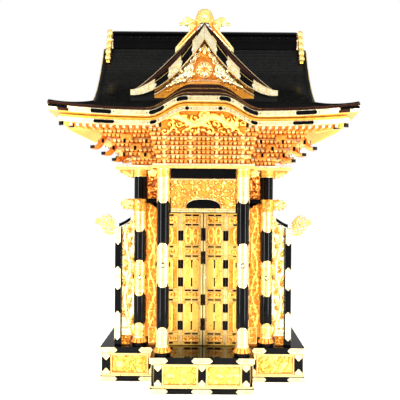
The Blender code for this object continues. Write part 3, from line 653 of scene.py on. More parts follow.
def curl(cu, cv, radius, turns, start, sense, width):
    """A scroll that winds inwards."""
    def height(u, v):
        du, dv = u - cu, v - cv
        rho = np.hypot(du, dv) / radius
        angle = (np.arctan2(dv, du) - start) * sense
        best = np.full_like(rho, 9.0)
        for k in range(-1, int(turns) + 2):
            t = (angle + 2 * math.pi * k) / (2 * math.pi * turns)
            gap = np.abs(rho - (1 - 0.80 * t))
            best = np.where((t >= 0) & (t <= 1), np.minimum(best, gap), best)
        line = swelling(best / width)
        eye = swelling(rho / 0.26)
        return np.maximum(line * (1.05 - 0.25 * np.clip(rho, 0, 1)), eye)
    return height


def leaf(cu, cv, length, width, angle):
    """A pointed leaf with a mid rib and side veins, from its stem."""
    ca, sa = math.cos(angle), math.sin(angle)

    def height(u, v):
        a = ((u - cu) * ca + (v - cv) * sa) / length
        b = (-(u - cu) * sa + (v - cv) * ca) / width
        inside = np.clip(a, 0, 1)
        half = np.sin(math.pi * inside ** 0.75) ** 0.8 * (1 + 0.10 * np.sin(28 * inside)) + 1e-6
        body = swelling(b / half) * ((a > 0) & (a < 1))
        vein = 0.35 * np.exp(-(b / 0.12) ** 2) + 0.16 * (np.sin(26 * (a - np.abs(b) * 0.5)) > 0.4)
        return body * (0.95 - vein)
    return height


def petals(cu, cv, radius, count, turn=0.0):
    """A blossom."""
    def height(u, v):
        rho = np.hypot(u - cu, v - cv) / radius
        wave = np.abs(np.cos((np.arctan2(v - cv, u - cu) + turn) * count / 2))
        edge = 0.72 + 0.28 * wave
        dish = np.sqrt(np.clip(1 - (rho / edge) ** 4, 0, 1)) * (0.45 + 0.45 * wave)
        return np.maximum(dish, swelling(rho / 0.28))
    return height


def puff(cu, cv, radius, flat=1.0):
    """One round lobe of a cloud or a rock."""
    def height(u, v):
        rho = np.hypot(u - cu, (v - cv) / flat) / radius
        return swelling(rho) * 0.9
    return height


def strand(points, radius, tall=1.0):
    """A stem, branch or wave crest that follows a line of points."""
    points = np.asarray(points, float)

    def height(u, v):
        best = np.full_like(u, 9.0)
        for (au, av), (bu, bv) in zip(points[:-1], points[1:]):
            du, dv = bu - au, bv - av
            t = np.clip(((u - au) * du + (v - av) * dv) / (du * du + dv * dv + 1e-12), 0, 1)
            best = np.minimum(best, np.hypot(u - au - t * du, v - av - t * dv))
        return swelling(best / radius) * tall
    return height


def carving(forms):
    """Joins carved forms: the highest one shows at each place."""
    def height(u, v):
        top = np.zeros_like(u)
        for form in forms:
            top = np.maximum(top, form(u, v))
        return top
    return height


def foliage(u0, u1, v0, v1, cell, seed, flowers=0.25, strength=0.22):
    """Scrolls, leaves and blossoms that fill a rectangle."""
    random = np.random.RandomState(seed)
    columns = max(1, int(round((u1 - u0) / cell)))
    rows = max(1, int(round((v1 - v0) / cell)))
    du = (u1 - u0) / columns
    dv = (v1 - v0) / rows
    size = min(du, dv)
    forms = []
    for i in range(columns):
        for j in range(rows):
            cu = u0 + du * (i + 0.5 + random.uniform(-0.12, 0.12))
            cv = v0 + dv * (j + 0.5 + random.uniform(-0.12, 0.12))
            radius = size * random.uniform(0.34, 0.44)
            turn = random.uniform(0, 2 * math.pi)
            sense = 1 if (i + j) % 2 else -1
            if random.uniform() < flowers:
                forms.append(petals(cu, cv, radius * 1.05, random.randint(5, 9), turn))
            else:
                forms.append(curl(cu, cv, radius, 1.25, turn, sense, strength))
            for k in range(3):
                way = turn + sense * (0.5 + 2.1 * k) + random.uniform(-0.3, 0.3)
                forms.append(leaf(cu + radius * 0.9 * math.cos(way), cv + radius * 0.9 * math.sin(way),
                                  size * random.uniform(0.40, 0.60), size * 0.15, way + sense * 0.5))
    return carving(forms)


def clouds(u0, u1, v0, v1, cell, seed):
    """Rolling clouds: heaps of round lobes with curls."""
    random = np.random.RandomState(seed)
    forms = []
    for i in range(max(1, int((u1 - u0) / cell))):
        for j in range(max(1, int((v1 - v0) / (cell * 0.7)))):
            cu = u0 + cell * (i + 0.5 + 0.5 * (j % 2) + random.uniform(-0.2, 0.2))
            cv = v0 + cell * 0.7 * (j + 0.5 + random.uniform(-0.2, 0.2))
            radius = cell * random.uniform(0.36, 0.50)
            forms.append(curl(cu, cv, radius, 1.1, random.uniform(0, 6.28), random.choice((-1, 1)), 0.34))
            forms.append(puff(cu + radius, cv - radius * 0.3, radius * 0.55, 0.8))
    return carving(forms)


def panel(section, plane, u0, u1, v0, v1, base, depth, carve, border, raised, step,
          tint=(0.20, 0.95), line=0.35):
    """A carved field inside a raised moulding."""
    ring_band(section.of("gold"), plane, rect(u0, u1, v0, v1), border, base - 0.001,
              base + depth + raised, 0.0008, 0.95)
    inner = border - 0.0004
    relief(section.of("gold"), plane, u0 + inner, u1 - inner, v0 + inner, v1 - inner, carve, base, depth,
           step, base - 0.001, tint, line)


# Plinth and step

BASE_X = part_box("base_main")[1].x
BASE_Y = (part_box("base_main")[0].y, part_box("base_main")[1].y)
STEP_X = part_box("step_base")[1].x
STEP_Y = (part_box("step_base")[0].y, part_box("step_base")[1].y)
BASE_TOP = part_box("step_top_board")[1].z
BOARD_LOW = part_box("step_top_board")[0].z
RAIL_TOP = 0.0205
BODY_SET = 0.009
PANEL_SET = -BODY_SET - 0.0035
CORNER_SET = 0.0245
CORNER_HALF = 0.0165
CORNER_PLATE = 0.349
CORE_SET = BODY_SET + 0.0060


def edge_plates(section, plane, u0, u1, places):
    """Fittings along the top board's edge and along the bottom rail of one face."""
    for low, high in ((BOARD_LOW, BASE_TOP - 0.0005), (0.0005, RAIL_TOP)):
        for start, end in places:
            ends = (start > u0 + 0.001, end < u1 - 0.001)
            studs = max(1, int((end - start) / 0.030))
            plate(section, plane, start, end, low + 0.0008, high - 0.0008, ends, 0.0, studs)


def stile(section, plane, u, half, v0, v1, base):
    """An upright of the plinth: black lacquer between two lobed plates."""
    slab(section.of("black"), plane, rect(u - half, u + half, v0, v1), base - 0.002, base + 0.0030, 0.0006)
    upright = plane.turned()
    third = (v1 - v0) * 0.31
    for a, b, ends in ((v0, v0 + third, (False, True)), (v1 - third, v1, (True, False))):
        plate(section, upright, a, b, -u - half + 0.0008, -u + half - 0.0008, ends, base + 0.0030, 1)


def plinth_face(section, plane, u0, u1, stiles, seed, places, carved=True):
    """One side of a plinth: rail, body with carved panels between stiles, and fittings."""
    low = RAIL_TOP + 0.0035
    high = BOARD_LOW - 0.0015
    slab(section.of("gold"), plane, rect(u0 + BODY_SET, u1 - BODY_SET, low - 0.003, low + 0.0045),
         -BODY_SET - 0.001, -0.0020, 0.0015)
    slab(section.of("gold"), plane, rect(u0 + BODY_SET, u1 - BODY_SET, high - 0.0045, high),
         -BODY_SET - 0.001, -0.0040, 0.0012)
    for u, half in stiles:
        stile(section, plane, u, half, low + 0.004, high - 0.004, -BODY_SET)
    edges = sorted(u for u, half in stiles)
    halves = dict(stiles)
    for k, (a, b) in enumerate(zip(edges, edges[1:])):
        start = a + halves[a] + 0.002
        end = b - halves[b] - 0.002
        if end - start < 0.05:
            continue
        cell = 0.038 if carved else 0.042
        field = foliage(start, end, low + 0.006, high - 0.006, cell, seed + k, 0.30)
        panel(section, plane, start, end, low + 0.005, high - 0.005, PANEL_SET, 0.0034, field, 0.0050,
              0.0030, 0.0026, (0.94, 1.0), 0.62)
        # A dark ring inside each panel's moulding: painted shade in the groove.
        trim = rect(start + 0.0046, end - 0.0046, low + 0.0096, high - 0.0096)
        ring_band(section.of("shaded"), plane, trim, 0.0016, PANEL_SET, -BODY_SET + 0.0006, 0.0002, 0.05)
    edge_plates(section, plane, u0, u1, places)


def build_plinth():
    section = Section("plinth")
    core = section.of("gold")
    box(core, (-BASE_X, BASE_X), BASE_Y, (0.0, 0.003), 0.0005)
    box(core, (-BASE_X + CORE_SET, BASE_X - CORE_SET), (BASE_Y[0] + CORE_SET, BASE_Y[1] - CORE_SET),
        (0.002, BOARD_LOW - 0.0002), 0.0005, 0.3)
    box(section.of("black"), (-BASE_X, BASE_X), BASE_Y, (0.0002, RAIL_TOP), 0.0015)
    front_places = [(-BASE_X, -CORNER_PLATE), (-0.262, -STEP_X), (STEP_X, 0.262), (CORNER_PLATE, BASE_X)]
    corner = BASE_X - CORNER_SET
    stiles = [(-corner, CORNER_HALF), (-STEP_X - 0.011, 0.009), (STEP_X + 0.011, 0.009),
              (corner, CORNER_HALF)]
    plinth_face(section, front(BASE_Y[0]), -BASE_X, BASE_X, stiles, 11, front_places)
    for side in (-1, 1):
        ends = sorted((side * BASE_Y[0], side * BASE_Y[1]))
        middle = (ends[0] + ends[1]) / 2
        places = [(ends[0], ends[0] + 0.071), (middle - 0.040, middle + 0.040), (ends[1] - 0.071, ends[1])]
        uprights = [(ends[0] + CORNER_SET, CORNER_HALF), (middle, 0.0140),
                    (ends[1] - CORNER_SET, CORNER_HALF)]
        plinth_face(section, flank(side, BASE_X), ends[0], ends[1], uprights, 21 + side, places)
    places = [(-BASE_X, -CORNER_PLATE), (-0.040, 0.040), (CORNER_PLATE, BASE_X)]
    uprights = [(-corner, CORNER_HALF), (-0.137, 0.014), (0.137, 0.014), (corner, CORNER_HALF)]
    plinth_face(section, back(BASE_Y[1]), -BASE_X, BASE_X, uprights, 31, places, False)
    section.done("base_main")


def build_step():
    section = Section("step")
    core = section.of("gold")
    box(core, (-STEP_X, STEP_X), STEP_Y, (0.0, 0.003), 0.0005)
    box(core, (-STEP_X + CORE_SET, STEP_X - CORE_SET), (STEP_Y[0] + CORE_SET, STEP_Y[1]),
        (0.002, BOARD_LOW - 0.0002), 0.0005, 0.3)
    box(section.of("black"), (-STEP_X, STEP_X), STEP_Y, (0.0002, RAIL_TOP), 0.0015)
    places = [(-STEP_X, -0.131), (-0.041, 0.041), (0.131, STEP_X)]
    uprights = [(-0.170, 0.0150), (0.0, 0.0145), (0.170, 0.0150)]
    plinth_face(section, front(STEP_Y[0]), -STEP_X, STEP_X, uprights, 41, places)
    for side in (-1, 1):
        ends = sorted((side * STEP_Y[0], side * STEP_Y[1]))
        if side > 0:
            places = [(ends[0], ends[0] + 0.060)]
        else:
            places = [(ends[1] - 0.060, ends[1])]
        uprights = [(side * (STEP_Y[0] + CORNER_SET), 0.0150),
                    ((ends[1] - 0.010 if side > 0 else ends[0] + 0.010), 0.0080)]
        plinth_face(section, flank(side, STEP_X), ends[0], ends[1], uprights, 51 + side, places)
    section.done("step_base")


# Pillars

PILLAR_R = 0.0245
PORCH = (0.155, -0.340)
OUTER = (0.263, -0.168)
REAR = (0.263, 0.217)
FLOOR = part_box("pillar_porch_left")[0].z
PILLAR_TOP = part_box("pillar_porch_left")[1].z
FOOT_TOP = FLOOR + 0.036


def fluted(piece, x, y, profile, count, tint):
    """A turned form whose rings swell into petals: the profile lists radius, height and petal depth."""
    sides = count * 10
    angles = full_turn(sides)
    wave = np.abs(np.cos(angles * count / 2)) ** 0.7
    rings, tints = [], []
    for r, z, amp in profile:
        radius = r - amp + amp * wave
        rings.append(np.stack((x + radius * np.cos(angles), y + radius * np.sin(angles),
                               np.full(sides, z)), axis=1))
        # Darker between the petals and lighter on them: painted shade in the gaps, painted highlight on the
        # petals; plain rings take 0.8.
        tints.append(blend(tint, wave if amp > 0 else np.full(sides, 0.8)))
    stack(piece, rings, np.concatenate(tints))


def diaper(radius):
    """A chased lattice of small lozenges round a fitting."""
    pitch = 0.0075

    def height(u, v):
        across = 2 * math.pi * radius / round(2 * math.pi * radius / pitch)
        a = np.abs(np.sin(math.pi * (u / across + v / pitch)))
        b = np.abs(np.sin(math.pi * (u / across - v / pitch)))
        return 0.45 + 0.50 * np.minimum(a, b)
    return height


def around(x, y, angle):
    """The plane that touches a pillar at an angle, 0 being the front."""
    right = (math.cos(angle), math.sin(angle), 0.0)
    return Plane((x + PILLAR_R * math.sin(angle), y - PILLAR_R * math.cos(angle), 0.0), right)


BOSS_R = 0.0098


def boss(section, x, y, z):
    """Ring and round boss on each of a fitting's four lobes."""
    for k in range(4):
        plane = around(x, y, k * math.pi / 2)
        ring_band(section.of("black"), plane, circle(0.0, z, BOSS_R, 28), 0.0021, -0.0024, 0.0034, 0.0003)
        dome(section.of("plate"), plane, 0.0, z, 0.0074, 0.0026, 0.0010, 1.0, 20)


def build_pillar(name, x, y, fittings, boss_z, capital, tint, collar=None):
    """A pillar: black shaft, foot disc, lotus, wrapped fittings and carved capital."""
    section = Section(name)
    shaft = section.of("black")
    foot = FLOOR
    turned(shaft, x, y, [(0.0305, foot), (0.0312, foot + 0.002), (0.0312, foot + 0.009),
                         (0.0275, foot + 0.0125), (PILLAR_R, foot + 0.013),
                         (PILLAR_R, PILLAR_TOP - 0.001)], 48)
    lotus = [(0.0268, foot + 0.012, 0.0), (0.0335, foot + 0.015, 0.0018), (0.0342, foot + 0.019, 0.0034),
             (0.0308, foot + 0.025, 0.0038), (0.0278, foot + 0.031, 0.0024), (0.0260, foot + 0.035, 0.0)]
    fluted(section.of("shaded"), x, y, lotus, 12, (0.0, 0.46))
    for z0, z1, lobe0, lobe1 in fittings:
        sleeve(section.of("plate"), x, y, PILLAR_R, z0, z1, lobe0, lobe1, 0.0016, diaper(PILLAR_R), tint)
        for z in (z0 + lobe0 + 0.004, z1 - lobe1 - 0.004):
            bead = [(PILLAR_R, z - 0.0016), (PILLAR_R + 0.0026, z - 0.0010),
                    (PILLAR_R + 0.0026, z + 0.0010), (PILLAR_R, z + 0.0016)]
            turned(section.of("plate"), x, y, bead, 48, 1.0)
    boss(section, x, y, boss_z)
    if collar:
        ring = foliage(0.0, 2 * math.pi * PILLAR_R, collar[0], collar[1], 0.017, 9, 0.2, 0.34)
        sleeve(section.of("gold"), x, y, PILLAR_R, collar[0], collar[1], 0.0, 0.0, 0.0030, ring, 0.44)
    z0, z1 = capital
    swell = foliage(0.0, 2 * math.pi * PILLAR_R, z0, z1, 0.019, 5, 0.3, 0.28)
    sleeve(section.of("gold"), x, y, PILLAR_R, z0, z1, 0.0, 0.0, 0.0030, swell, 0.74)
    for z, out in ((z0, 0.0030), (z1 - 0.003, 0.0034)):
        rim = [(PILLAR_R, z - 0.001), (PILLAR_R + out, z), (PILLAR_R + out, z + 0.0025),
               (PILLAR_R, z + 0.0035)]
        turned(section.of("gold"), x, y, rim, 48, 0.9)
    section.done(name)


def build_pillars():
    porch = ((FLOOR + 0.034, 0.255, 0.0, 0.016), (0.407, 0.580, 0.018, 0.018), (0.733, 0.836, 0.018, 0.0))
    outer = ((FLOOR + 0.034, 0.239, 0.0, 0.014), (0.348, 0.497, 0.018, 0.018), (0.612, 0.697, 0.018, 0.0))
    for side, word in SIDES:
        build_pillar("pillar_porch_" + word, side * PORCH[0], PORCH[1], porch, 0.494, (0.832, PILLAR_TOP),
                     0.76)
        for name, (x, y) in (("pillar_outer_", OUTER), ("pillar_rear_", REAR)):
            build_pillar(name + word, side * x, y, outer, 0.425, (0.841, PILLAR_TOP), 0.50, (0.698, 0.748))


# Doors

DOOR_PANELS = ((0.159, 0.182), (0.1965, 0.323), (0.338, 0.365), (0.375, 0.504),
               (0.5185, 0.5435), (0.558, 0.635), (0.6475, 0.6765))
DASHES = (0.682, 0.642, 0.551, 0.512, 0.370, 0.331, 0.190, 0.152)
STILE_BLOCKS = ((0.576, 0.618), (0.461, 0.497), (0.386, 0.424), (0.279, 0.315), (0.206, 0.244))
CLASP = ((0.576, 0.629), (0.479, 0.533), (0.309, 0.354), (0.205, 0.255))
STILE = 0.012


def arched(centres, half, v0, v1, ground):
    """Pointed arches side by side: a raised outline round a smooth field, with carving around them."""
    rise = min(0.024, half * 1.1)
    spring = v1 - rise - 0.003
    lines = []
    for centre in centres:
        curve = [(centre - half * math.cos(t * math.pi / 2) ** 0.75, spring + rise * t ** 1.6)
                 for t in np.linspace(0, 1, 9)]
        mirrored = [(2 * centre - u, v) for u, v in reversed(curve[:-1])]
        feet = [(centre - half, v0 + half * 0.6), (centre - half * 0.55, v0 + 0.0035),
                (centre + half * 0.55, v0 + 0.0035), (centre + half, v0 + half * 0.6)]
        lines.append(strand([feet[1], feet[0]] + curve + mirrored + [feet[3], feet[2], feet[1]], 0.0023))

    def height(u, v):
        part = np.clip((v - spring) / rise, 0, 1) ** (1 / 1.6)
        low = np.clip((v0 + half * 0.6 - v) / (half * 0.6 - 0.0035), 0, 1)
        reach = half * np.minimum(np.cos(part * math.pi / 2) ** 0.75, 1 - 0.45 * low)
        carved = ground(u, v)
        top = 0.26 * carved
        for centre in centres:
            top = np.where((np.abs(u - centre) < reach) & (v > v0 + 0.0035), 0.50 + 0.10 * carved, top)
        for line in lines:
            top = np.maximum(top, line(u, v))
        return top
    return height


def medallion(centres, half, v0, v1, ground):
    """Oval wreaths with a blossom in the middle, over low carving."""
    middle = (v0 + v1) / 2
    tall = (v1 - v0) / 2 - 0.004
    forms = [lambda u, v: 0.30 * ground(u, v)]
    for centre in centres:
        ring = [(centre + half * math.cos(a), middle + tall * math.sin(a))
                for a in np.linspace(0, 2 * math.pi, 25)]
        forms.append(strand(ring, 0.0028))
        forms.append(petals(centre, middle, half * 0.62, 8))
    return carving(forms)


def build_leaf(node, body, side, inner_side):
    """A door leaf: sunk carved panels between rails, black blocks at its seam and the middle strip."""
    low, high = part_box(node)
    x0, x1 = low.x, high.x
    plane = front(low.y)
    section = Section(node, body)
    gold = section.of("gold")
    floor = -0.0028
    slab(gold, plane, rect(x0, x1, low.z, high.z), -(high.y - low.y), floor - 0.0012, 0.0004, 0.35)
    ring_band(gold, plane, rect(x0, x1, low.z, high.z), STILE, floor - 0.0014, 0.0, 0.0006, 0.52)
    edges = [low.z] + [z for pair in DOOR_PANELS for z in pair] + [high.z]
    u0, u1 = x0 + STILE - 0.0008, x1 - STILE + 0.0008
    for k in range(1, len(DOOR_PANELS)):
        slab(gold, plane, rect(u0, u1, edges[2 * k], edges[2 * k + 1]), floor - 0.0004, 0.0, 0.0006, 0.55)
    middle = (x0 + x1) / 2
    wide = u1 - u0
    centres = (middle - wide * 0.22, middle + wide * 0.22) if inner_side else (middle,)
    half_arch = 0.0130 if inner_side else min(0.0130, wide * 0.32)
    for k, (v0, v1) in enumerate(DOOR_PANELS):
        ground = foliage(u0, u1, v0, v1, 0.019 if k % 2 else 0.015, 60 + k, 0.30, 0.30)
        if k in (1, 3):
            carve = arched(centres, half_arch, v0, v1, ground)
        elif k == 5:
            carve = medallion(centres, half_arch * 0.9, v0, v1, ground)
        else:
            carve = ground
        relief(gold, plane, u0, u1, v0 - 0.0006, v1 + 0.0006, carve, floor, 0.0022, 0.00169, floor - 0.0014,
               (0.02, 0.40, 0.58, 0.95), 0.30)
        ring_band(gold, plane, rect(u0, u1, v0 - 0.0006, v1 + 0.0006), 0.0026, floor - 0.0005, 0.0008,
                  0.0005, 1.0)
        # A dark line round each panel: painted shade in the groove.
        ring_band(section.of("shaded"), plane, rect(u0 - 0.0016, u1 + 0.0016, v0 - 0.0022, v1 + 0.0022),
                  0.0018, floor - 0.0010, 0.0004, 0.0002, 0.0)
    wide_dash = 0.0125 if inner_side else 0.0150
    for z in DASHES:
        for u in centres:
            slab(section.of("black"), plane, rect(u - wide_dash, u + wide_dash, z - 0.0031, z + 0.0031),
                 -0.0004, 0.0014, 0.0004)
    if inner_side:
        for v0, v1 in (DOOR_PANELS[1], DOOR_PANELS[3]):
            slab(gold, plane, rect(middle - 0.0030, middle + 0.0030, v0, v1), floor, 0.0006, 0.0008, 0.9)
        for v0, v1 in STILE_BLOCKS[1:]:
            slab(section.of("black"), plane, rect(middle - 0.0032, middle + 0.0032, v0, v1), 0.0, 0.0014,
                 0.0004)
    seam = x0 if (side > 0) != inner_side else x1
    toward = 1 if seam == x0 else -1
    for v0, v1 in STILE_BLOCKS:
        a, b = sorted((seam + toward * 0.0003, seam + toward * 0.0105))
        slab(section.of("black"), plane, rect(a, b, v0, v1), -0.0004, 0.0016, 0.0004)
    bounds = [low.z + 0.002] + sorted(z for block in STILE_BLOCKS for z in block) + [high.z - 0.002]
    for v0, v1 in zip(bounds[::2], bounds[1::2]):
        a, b = sorted((seam + toward * 0.0006, seam + toward * 0.0044))
        slab(section.of("plate"), plane, rect(a, b, v0 + 0.001, v1 - 0.001), -0.0004, 0.0010, 0.0004, 0.85)
    if inner_side:
        meet = x1 if side < 0 else x0
        toward = 1 if meet == x0 else -1
        a, b = sorted((meet + toward * 0.0002, meet + toward * 0.0086))
        slab(section.of("gold"), plane, rect(a, b, low.z + 0.001, high.z - 0.001), -0.0004, 0.0022,
             0.0010, 0.95)
        for v0, v1 in CLASP:
            a, b = sorted((meet + toward * 0.0003, meet + toward * 0.0080))
            slab(section.of("black"), plane, rect(a, b, v0, v1), 0.0018, 0.0032, 0.0005)
    rear = back(high.y)
    for v0, v1 in ((low.z + 0.020, 0.335), (0.355, 0.520), (0.540, high.z - 0.020)):
        ring_band(gold, rear, rect(-x1 + 0.010, -x0 - 0.010, v0, v1), 0.003, -0.001, 0.0, 0.0006, 0.9)
    section.done(node)


def build_doors():
    for side, word in SIDES:
        build_leaf("door_outer_" + word, "outer_%s_leaf" % word, side, False)
        build_leaf("door_inner_" + word, "inner_%s_leaf" % word, side, True)


def build_lock():
    """The lock plate on the right middle leaf, beside the seam."""
    section = Section("door_lock", "inner_right_leaf")
    low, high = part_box("door_lock")
    plane = front(low.y)
    middle = (low.z + high.z) / 2
    cross = [(0.0, low.z), (0.0062, low.z), (0.0062, middle - 0.009), (0.0125, middle - 0.004),
             (0.0125, middle + 0.004), (0.0062, middle + 0.009), (0.0062, high.z), (0.0, high.z)]
    outline = [(low.x + u * 0.9, v) for u, v in cross]
    slab(section.of("plate"), plane, outline, -0.0046, -0.0008, 0.0006, 0.9)
    dome(section.of("plate"), plane, low.x + 0.0052, middle, 0.0034, 0.0008, -0.0008, 1.0)
    for v in (low.z + 0.008, high.z - 0.008):
        dome(section.of("plate"), plane, low.x + 0.0028, v, 0.0016, 0.0007, -0.0008, 1.0, 8)
    section.done("door_lock")


# Bracket tiers

TIER_H = 0.0343
LEDGE_TOP = 0.888
TIER_COUNT = 4
BLOCK_PITCH = 0.0170
ARM_PITCH = 0.085
ARM_START = 0.016


def tier_edges(level, back_off=0.0):
    """Straight stretches of a tier's outline, anticlockwise, as start and end points."""
    grow = 0.037 * level
    half = 0.300 + grow - back_off
    front_y = -0.210 - grow * 0.95 + back_off
    back_y = 0.254 + grow * 0.85 - back_off
    porch_half = 0.185 + grow * 0.25 - back_off
    porch_y = -0.370 - grow * 0.25 + back_off
    corners = [(-porch_half, porch_y), (porch_half, porch_y), (porch_half, front_y), (half, front_y),
               (half, back_y), (-half, back_y), (-half, front_y), (-porch_half, front_y)]
    return [(np.array(a), np.array(b)) for a, b in zip(corners, corners[1:] + corners[:1])]


def edge_frame(start, end):
    """Length, direction and outward side of a stretch."""
    length = float(np.hypot(*(end - start)))
    along = (end - start) / length
    return length, along, np.array((along[1], -along[0]))


def masu(piece, centre, along, out, z, size, tall, tint):
    """A bearing block: square above, curving in to a smaller foot."""
    rings = []
    for part, lift in ((0.60, 0.0), (0.70, 0.16), (0.96, 0.42), (1.0, 0.48), (1.0, 0.93), (0.92, 1.0)):
        half = size * part / 2
        spots = [centre + along * half * a - out * half * b
                 for a, b in ((-1, -1), (1, -1), (1, 1), (-1, 1))]
        rings.append([(x, y, z + tall * lift) for x, y in spots])
    # The foot rings are painted darker and the top lighter: painted shade under the block, painted
    # highlight on its top.
    stack(piece, rings, tint * np.repeat((0.10, 0.22, 0.66, 0.95, 0.95, 1.0), 4))


def arm(piece, centre, along, z, half_long, tall, thick, tint):
    """A bracket arm: a bar whose ends curve up underneath."""
    outline = [(-half_long, z + tall), (-half_long, z + tall * 0.55)]
    for k in range(5):
        t = k / 4
        across = -half_long + half_long * 0.30 * math.sin(t * math.pi / 2)
        outline.append((across, z + tall * 0.55 * (1 - t ** 1.5)))
    outline += [(-u, v) for u, v in reversed(outline)]
    plane = standing(centre, along)
    slab(piece, plane, outline[::-1], -thick / 2, thick / 2, 0.0008, tint)


def plated_arm(section, root, out, z, reach, tall, wide):
    """A square arm that stands out of a tier, with a black plate on its end."""
    plane = standing(root, out)
    under = [(0.0, z - tall / 2), (reach - 0.001, z - tall / 2), (reach - 0.001, z + tall / 2),
             (0.0, z + tall / 2)]
    slab(section.of("shaded"), plane, under, -wide / 2, wide / 2, 0.0010, 0.80)
    tip = rect(reach - 0.0022, reach + 0.0010, z - tall * 0.56, z + tall * 0.56)
    slab(section.of("black"), plane, tip, -wide * 0.56, wide * 0.56, 0.0008)


def block_row(section, start, end, z, size, tall, shift, tint):
    """Bearing blocks along a tier's edge; a shifted row begins half a step sooner, at its corners."""
    length, along, out = edge_frame(start, end)
    count = max(1, int(round(length / BLOCK_PITCH)))
    step = length / count
    for k in range(count + (1 if shift else 0)):
        shade = tint * (0.72, 1.0, 0.84, 1.0, 0.64)[(3 * k + k // 4) % 5]
        s = step * (k + (0.0 if shift else 0.5))
        if s < size * 0.4 or s > length - size * 0.4:
            continue
        masu(section.of("shaded"), start + along * s - out * size * 0.52, along, out, z, size, tall, shade)
    return along, out, length


def build_tiers():
    """Four tiers; each has two rows of small blocks on thin rails, with larger brackets among them."""
    for level in range(TIER_COUNT):
        section = Section("bracket_tier_%d" % (level + 1))
        gold = section.of("shaded")
        z0 = LEDGE_TOP + 0.0003 + level * TIER_H
        # The core rail, set furthest back, takes the darkest tint: painted shade in the gaps between the
        # blocks; the rails in front are painted lighter.
        rails = ((0.0165, 0.0, TIER_H - 0.0004, 0.02), (0.0080, 0.0130, 0.0158, 0.50),
                 (0.0030, TIER_H - 0.0040, TIER_H - 0.0008, 0.78))
        for back_off, low, high, tint in rails:
            outline = [start for start, end in tier_edges(level, back_off)]
            slab(gold, LEVEL, outline, z0 + low, z0 + high, 0.0006, tint)
        for start, end in tier_edges(level, 0.0055):
            block_row(section, start, end, z0 + 0.0005, 0.0108, 0.0125, level % 2 == 1, 0.80)
        for start, end in tier_edges(level, 0.0010):
            along, out, length = block_row(section, start, end, z0 + 0.0160, 0.0118, 0.0138,
                                           level % 2 == 0, 1.0)
            spots = (length / 2 - 0.150, length / 2 - 0.050, length / 2 + 0.050, length / 2 + 0.150)
            for s in spots if length > 0.34 else ():
                spot = start + along * s + out * 0.0005
                arm(gold, spot, along, z0 + 0.0130, 0.0150, 0.0090, 0.0110, 0.62)
                masu(gold, spot, along, out, z0 + 0.0175, 0.0160, 0.0155, 1.0)
                arm(gold, spot - out * 0.004, out, z0 + 0.0010, 0.0105, 0.0125, 0.0080, 0.85)
        section.done("bracket_tier_%d" % (level + 1))


def tail_rafter(section, plane, reach, z, fall, tall, wide):
    """A tail rafter at a corner: it curls down like a trunk and ends in a black plate."""
    count = 14
    t = np.linspace(0, 1, count)
    across = reach * (t - 0.10 * np.sin(math.pi * t))
    line = z - fall * np.sin(t * math.pi * 0.56) ** 1.3
    thick = tall * (1.0 - 0.66 * t)
    # One broad side is painted light; the top, underside and other side are painted dark, lighter towards
    # the tip: painted highlight and painted shade.
    strip(section.of("shaded"), plane, across, line - thick, line, -wide / 2, wide / 2, 0.0014,
          (np.array((0.10, 0.16, 0.55, 0.62, 0.22, 0.10))[None, :] + 0.22 * t[:, None]).ravel())
    tip = [(reach - 0.0040, line[-1] - thick[-1] - 0.0008), (reach + 0.0020, line[-1] - thick[-1] - 0.0012),
           (reach + 0.0030, line[-1] + 0.0006), (reach - 0.0030, line[-1] + 0.0008)]
    slab(section.of("black"), plane, tip, -wide / 2 - 0.0008, wide / 2 + 0.0008, 0.0008)


def build_tail_rafters():
    """Trunk-like rafters under each corner, and plated arms along the tiers."""
    section = Section("tail_rafters")
    for level in range(1, TIER_COUNT):
        z = LEDGE_TOP + level * TIER_H
        edges = tier_edges(level)
        for index, (sx, sy) in ((3, (1, -1)), (4, (1, 1)), (5, (-1, 1)), (6, (-1, -1))):
            way = np.array((sx, sy)) / math.sqrt(2)
            corner = edges[index][0] - way * 0.030
            plane = standing(corner, way)
            tail_rafter(section, plane, 0.062, z + 0.026, 0.026 + 0.012 * level, 0.032, 0.020)
        for sense in (-1, 1):
            front_face = front(edges[2][1][1] - 0.0035)
            middle = sense * (0.199 + 0.035 * level)
            block = [(middle - 0.020, z - 0.012), (middle + 0.020, z - 0.012),
                     (middle + 0.024, z + 0.004), (middle + 0.016, z + 0.014),
                     (middle - 0.016, z + 0.014), (middle - 0.024, z + 0.004)]
            slab(section.of("shaded"), front_face, block, -0.014, 0.0, 0.0035, 0.42)
        for index in (2, 3, 4, 5, 6):
            start, end = edges[index]
            length, along, out = edge_frame(start, end)
            spots = set()
            for k in range(int((length - 0.020) / ARM_PITCH) + 1):
                if index != 2:
                    spot = ARM_START + ARM_PITCH * k
                else:
                    spot = length - ARM_START - ARM_PITCH * k
                spots.add(round(spot, 4))
            for s in spots:
                plated_arm(section, start + along * s - out * 0.020, out, z + 0.005 - 0.010 * (level - 1),
                           0.0300, 0.0150, 0.0085)
    section.done()


# Eaves

EAVE_HALF = (0.578, 0.4715)
LOWER_INSET = 0.033
LOWER_MID = 1.0450
LOWER_TOP = 1.0545
UPPER_LOW = 1.0580
UPPER_TOP = 1.0795
ROOF_EDGE = 1.0895
BULGE_END = 0.205
PORCH_LIFT = 0.087
CARVING_HALF = 0.163


def smooth(t):
    t = np.clip(t, 0.0, 1.0)
    return t * t * (3 - 2 * t)


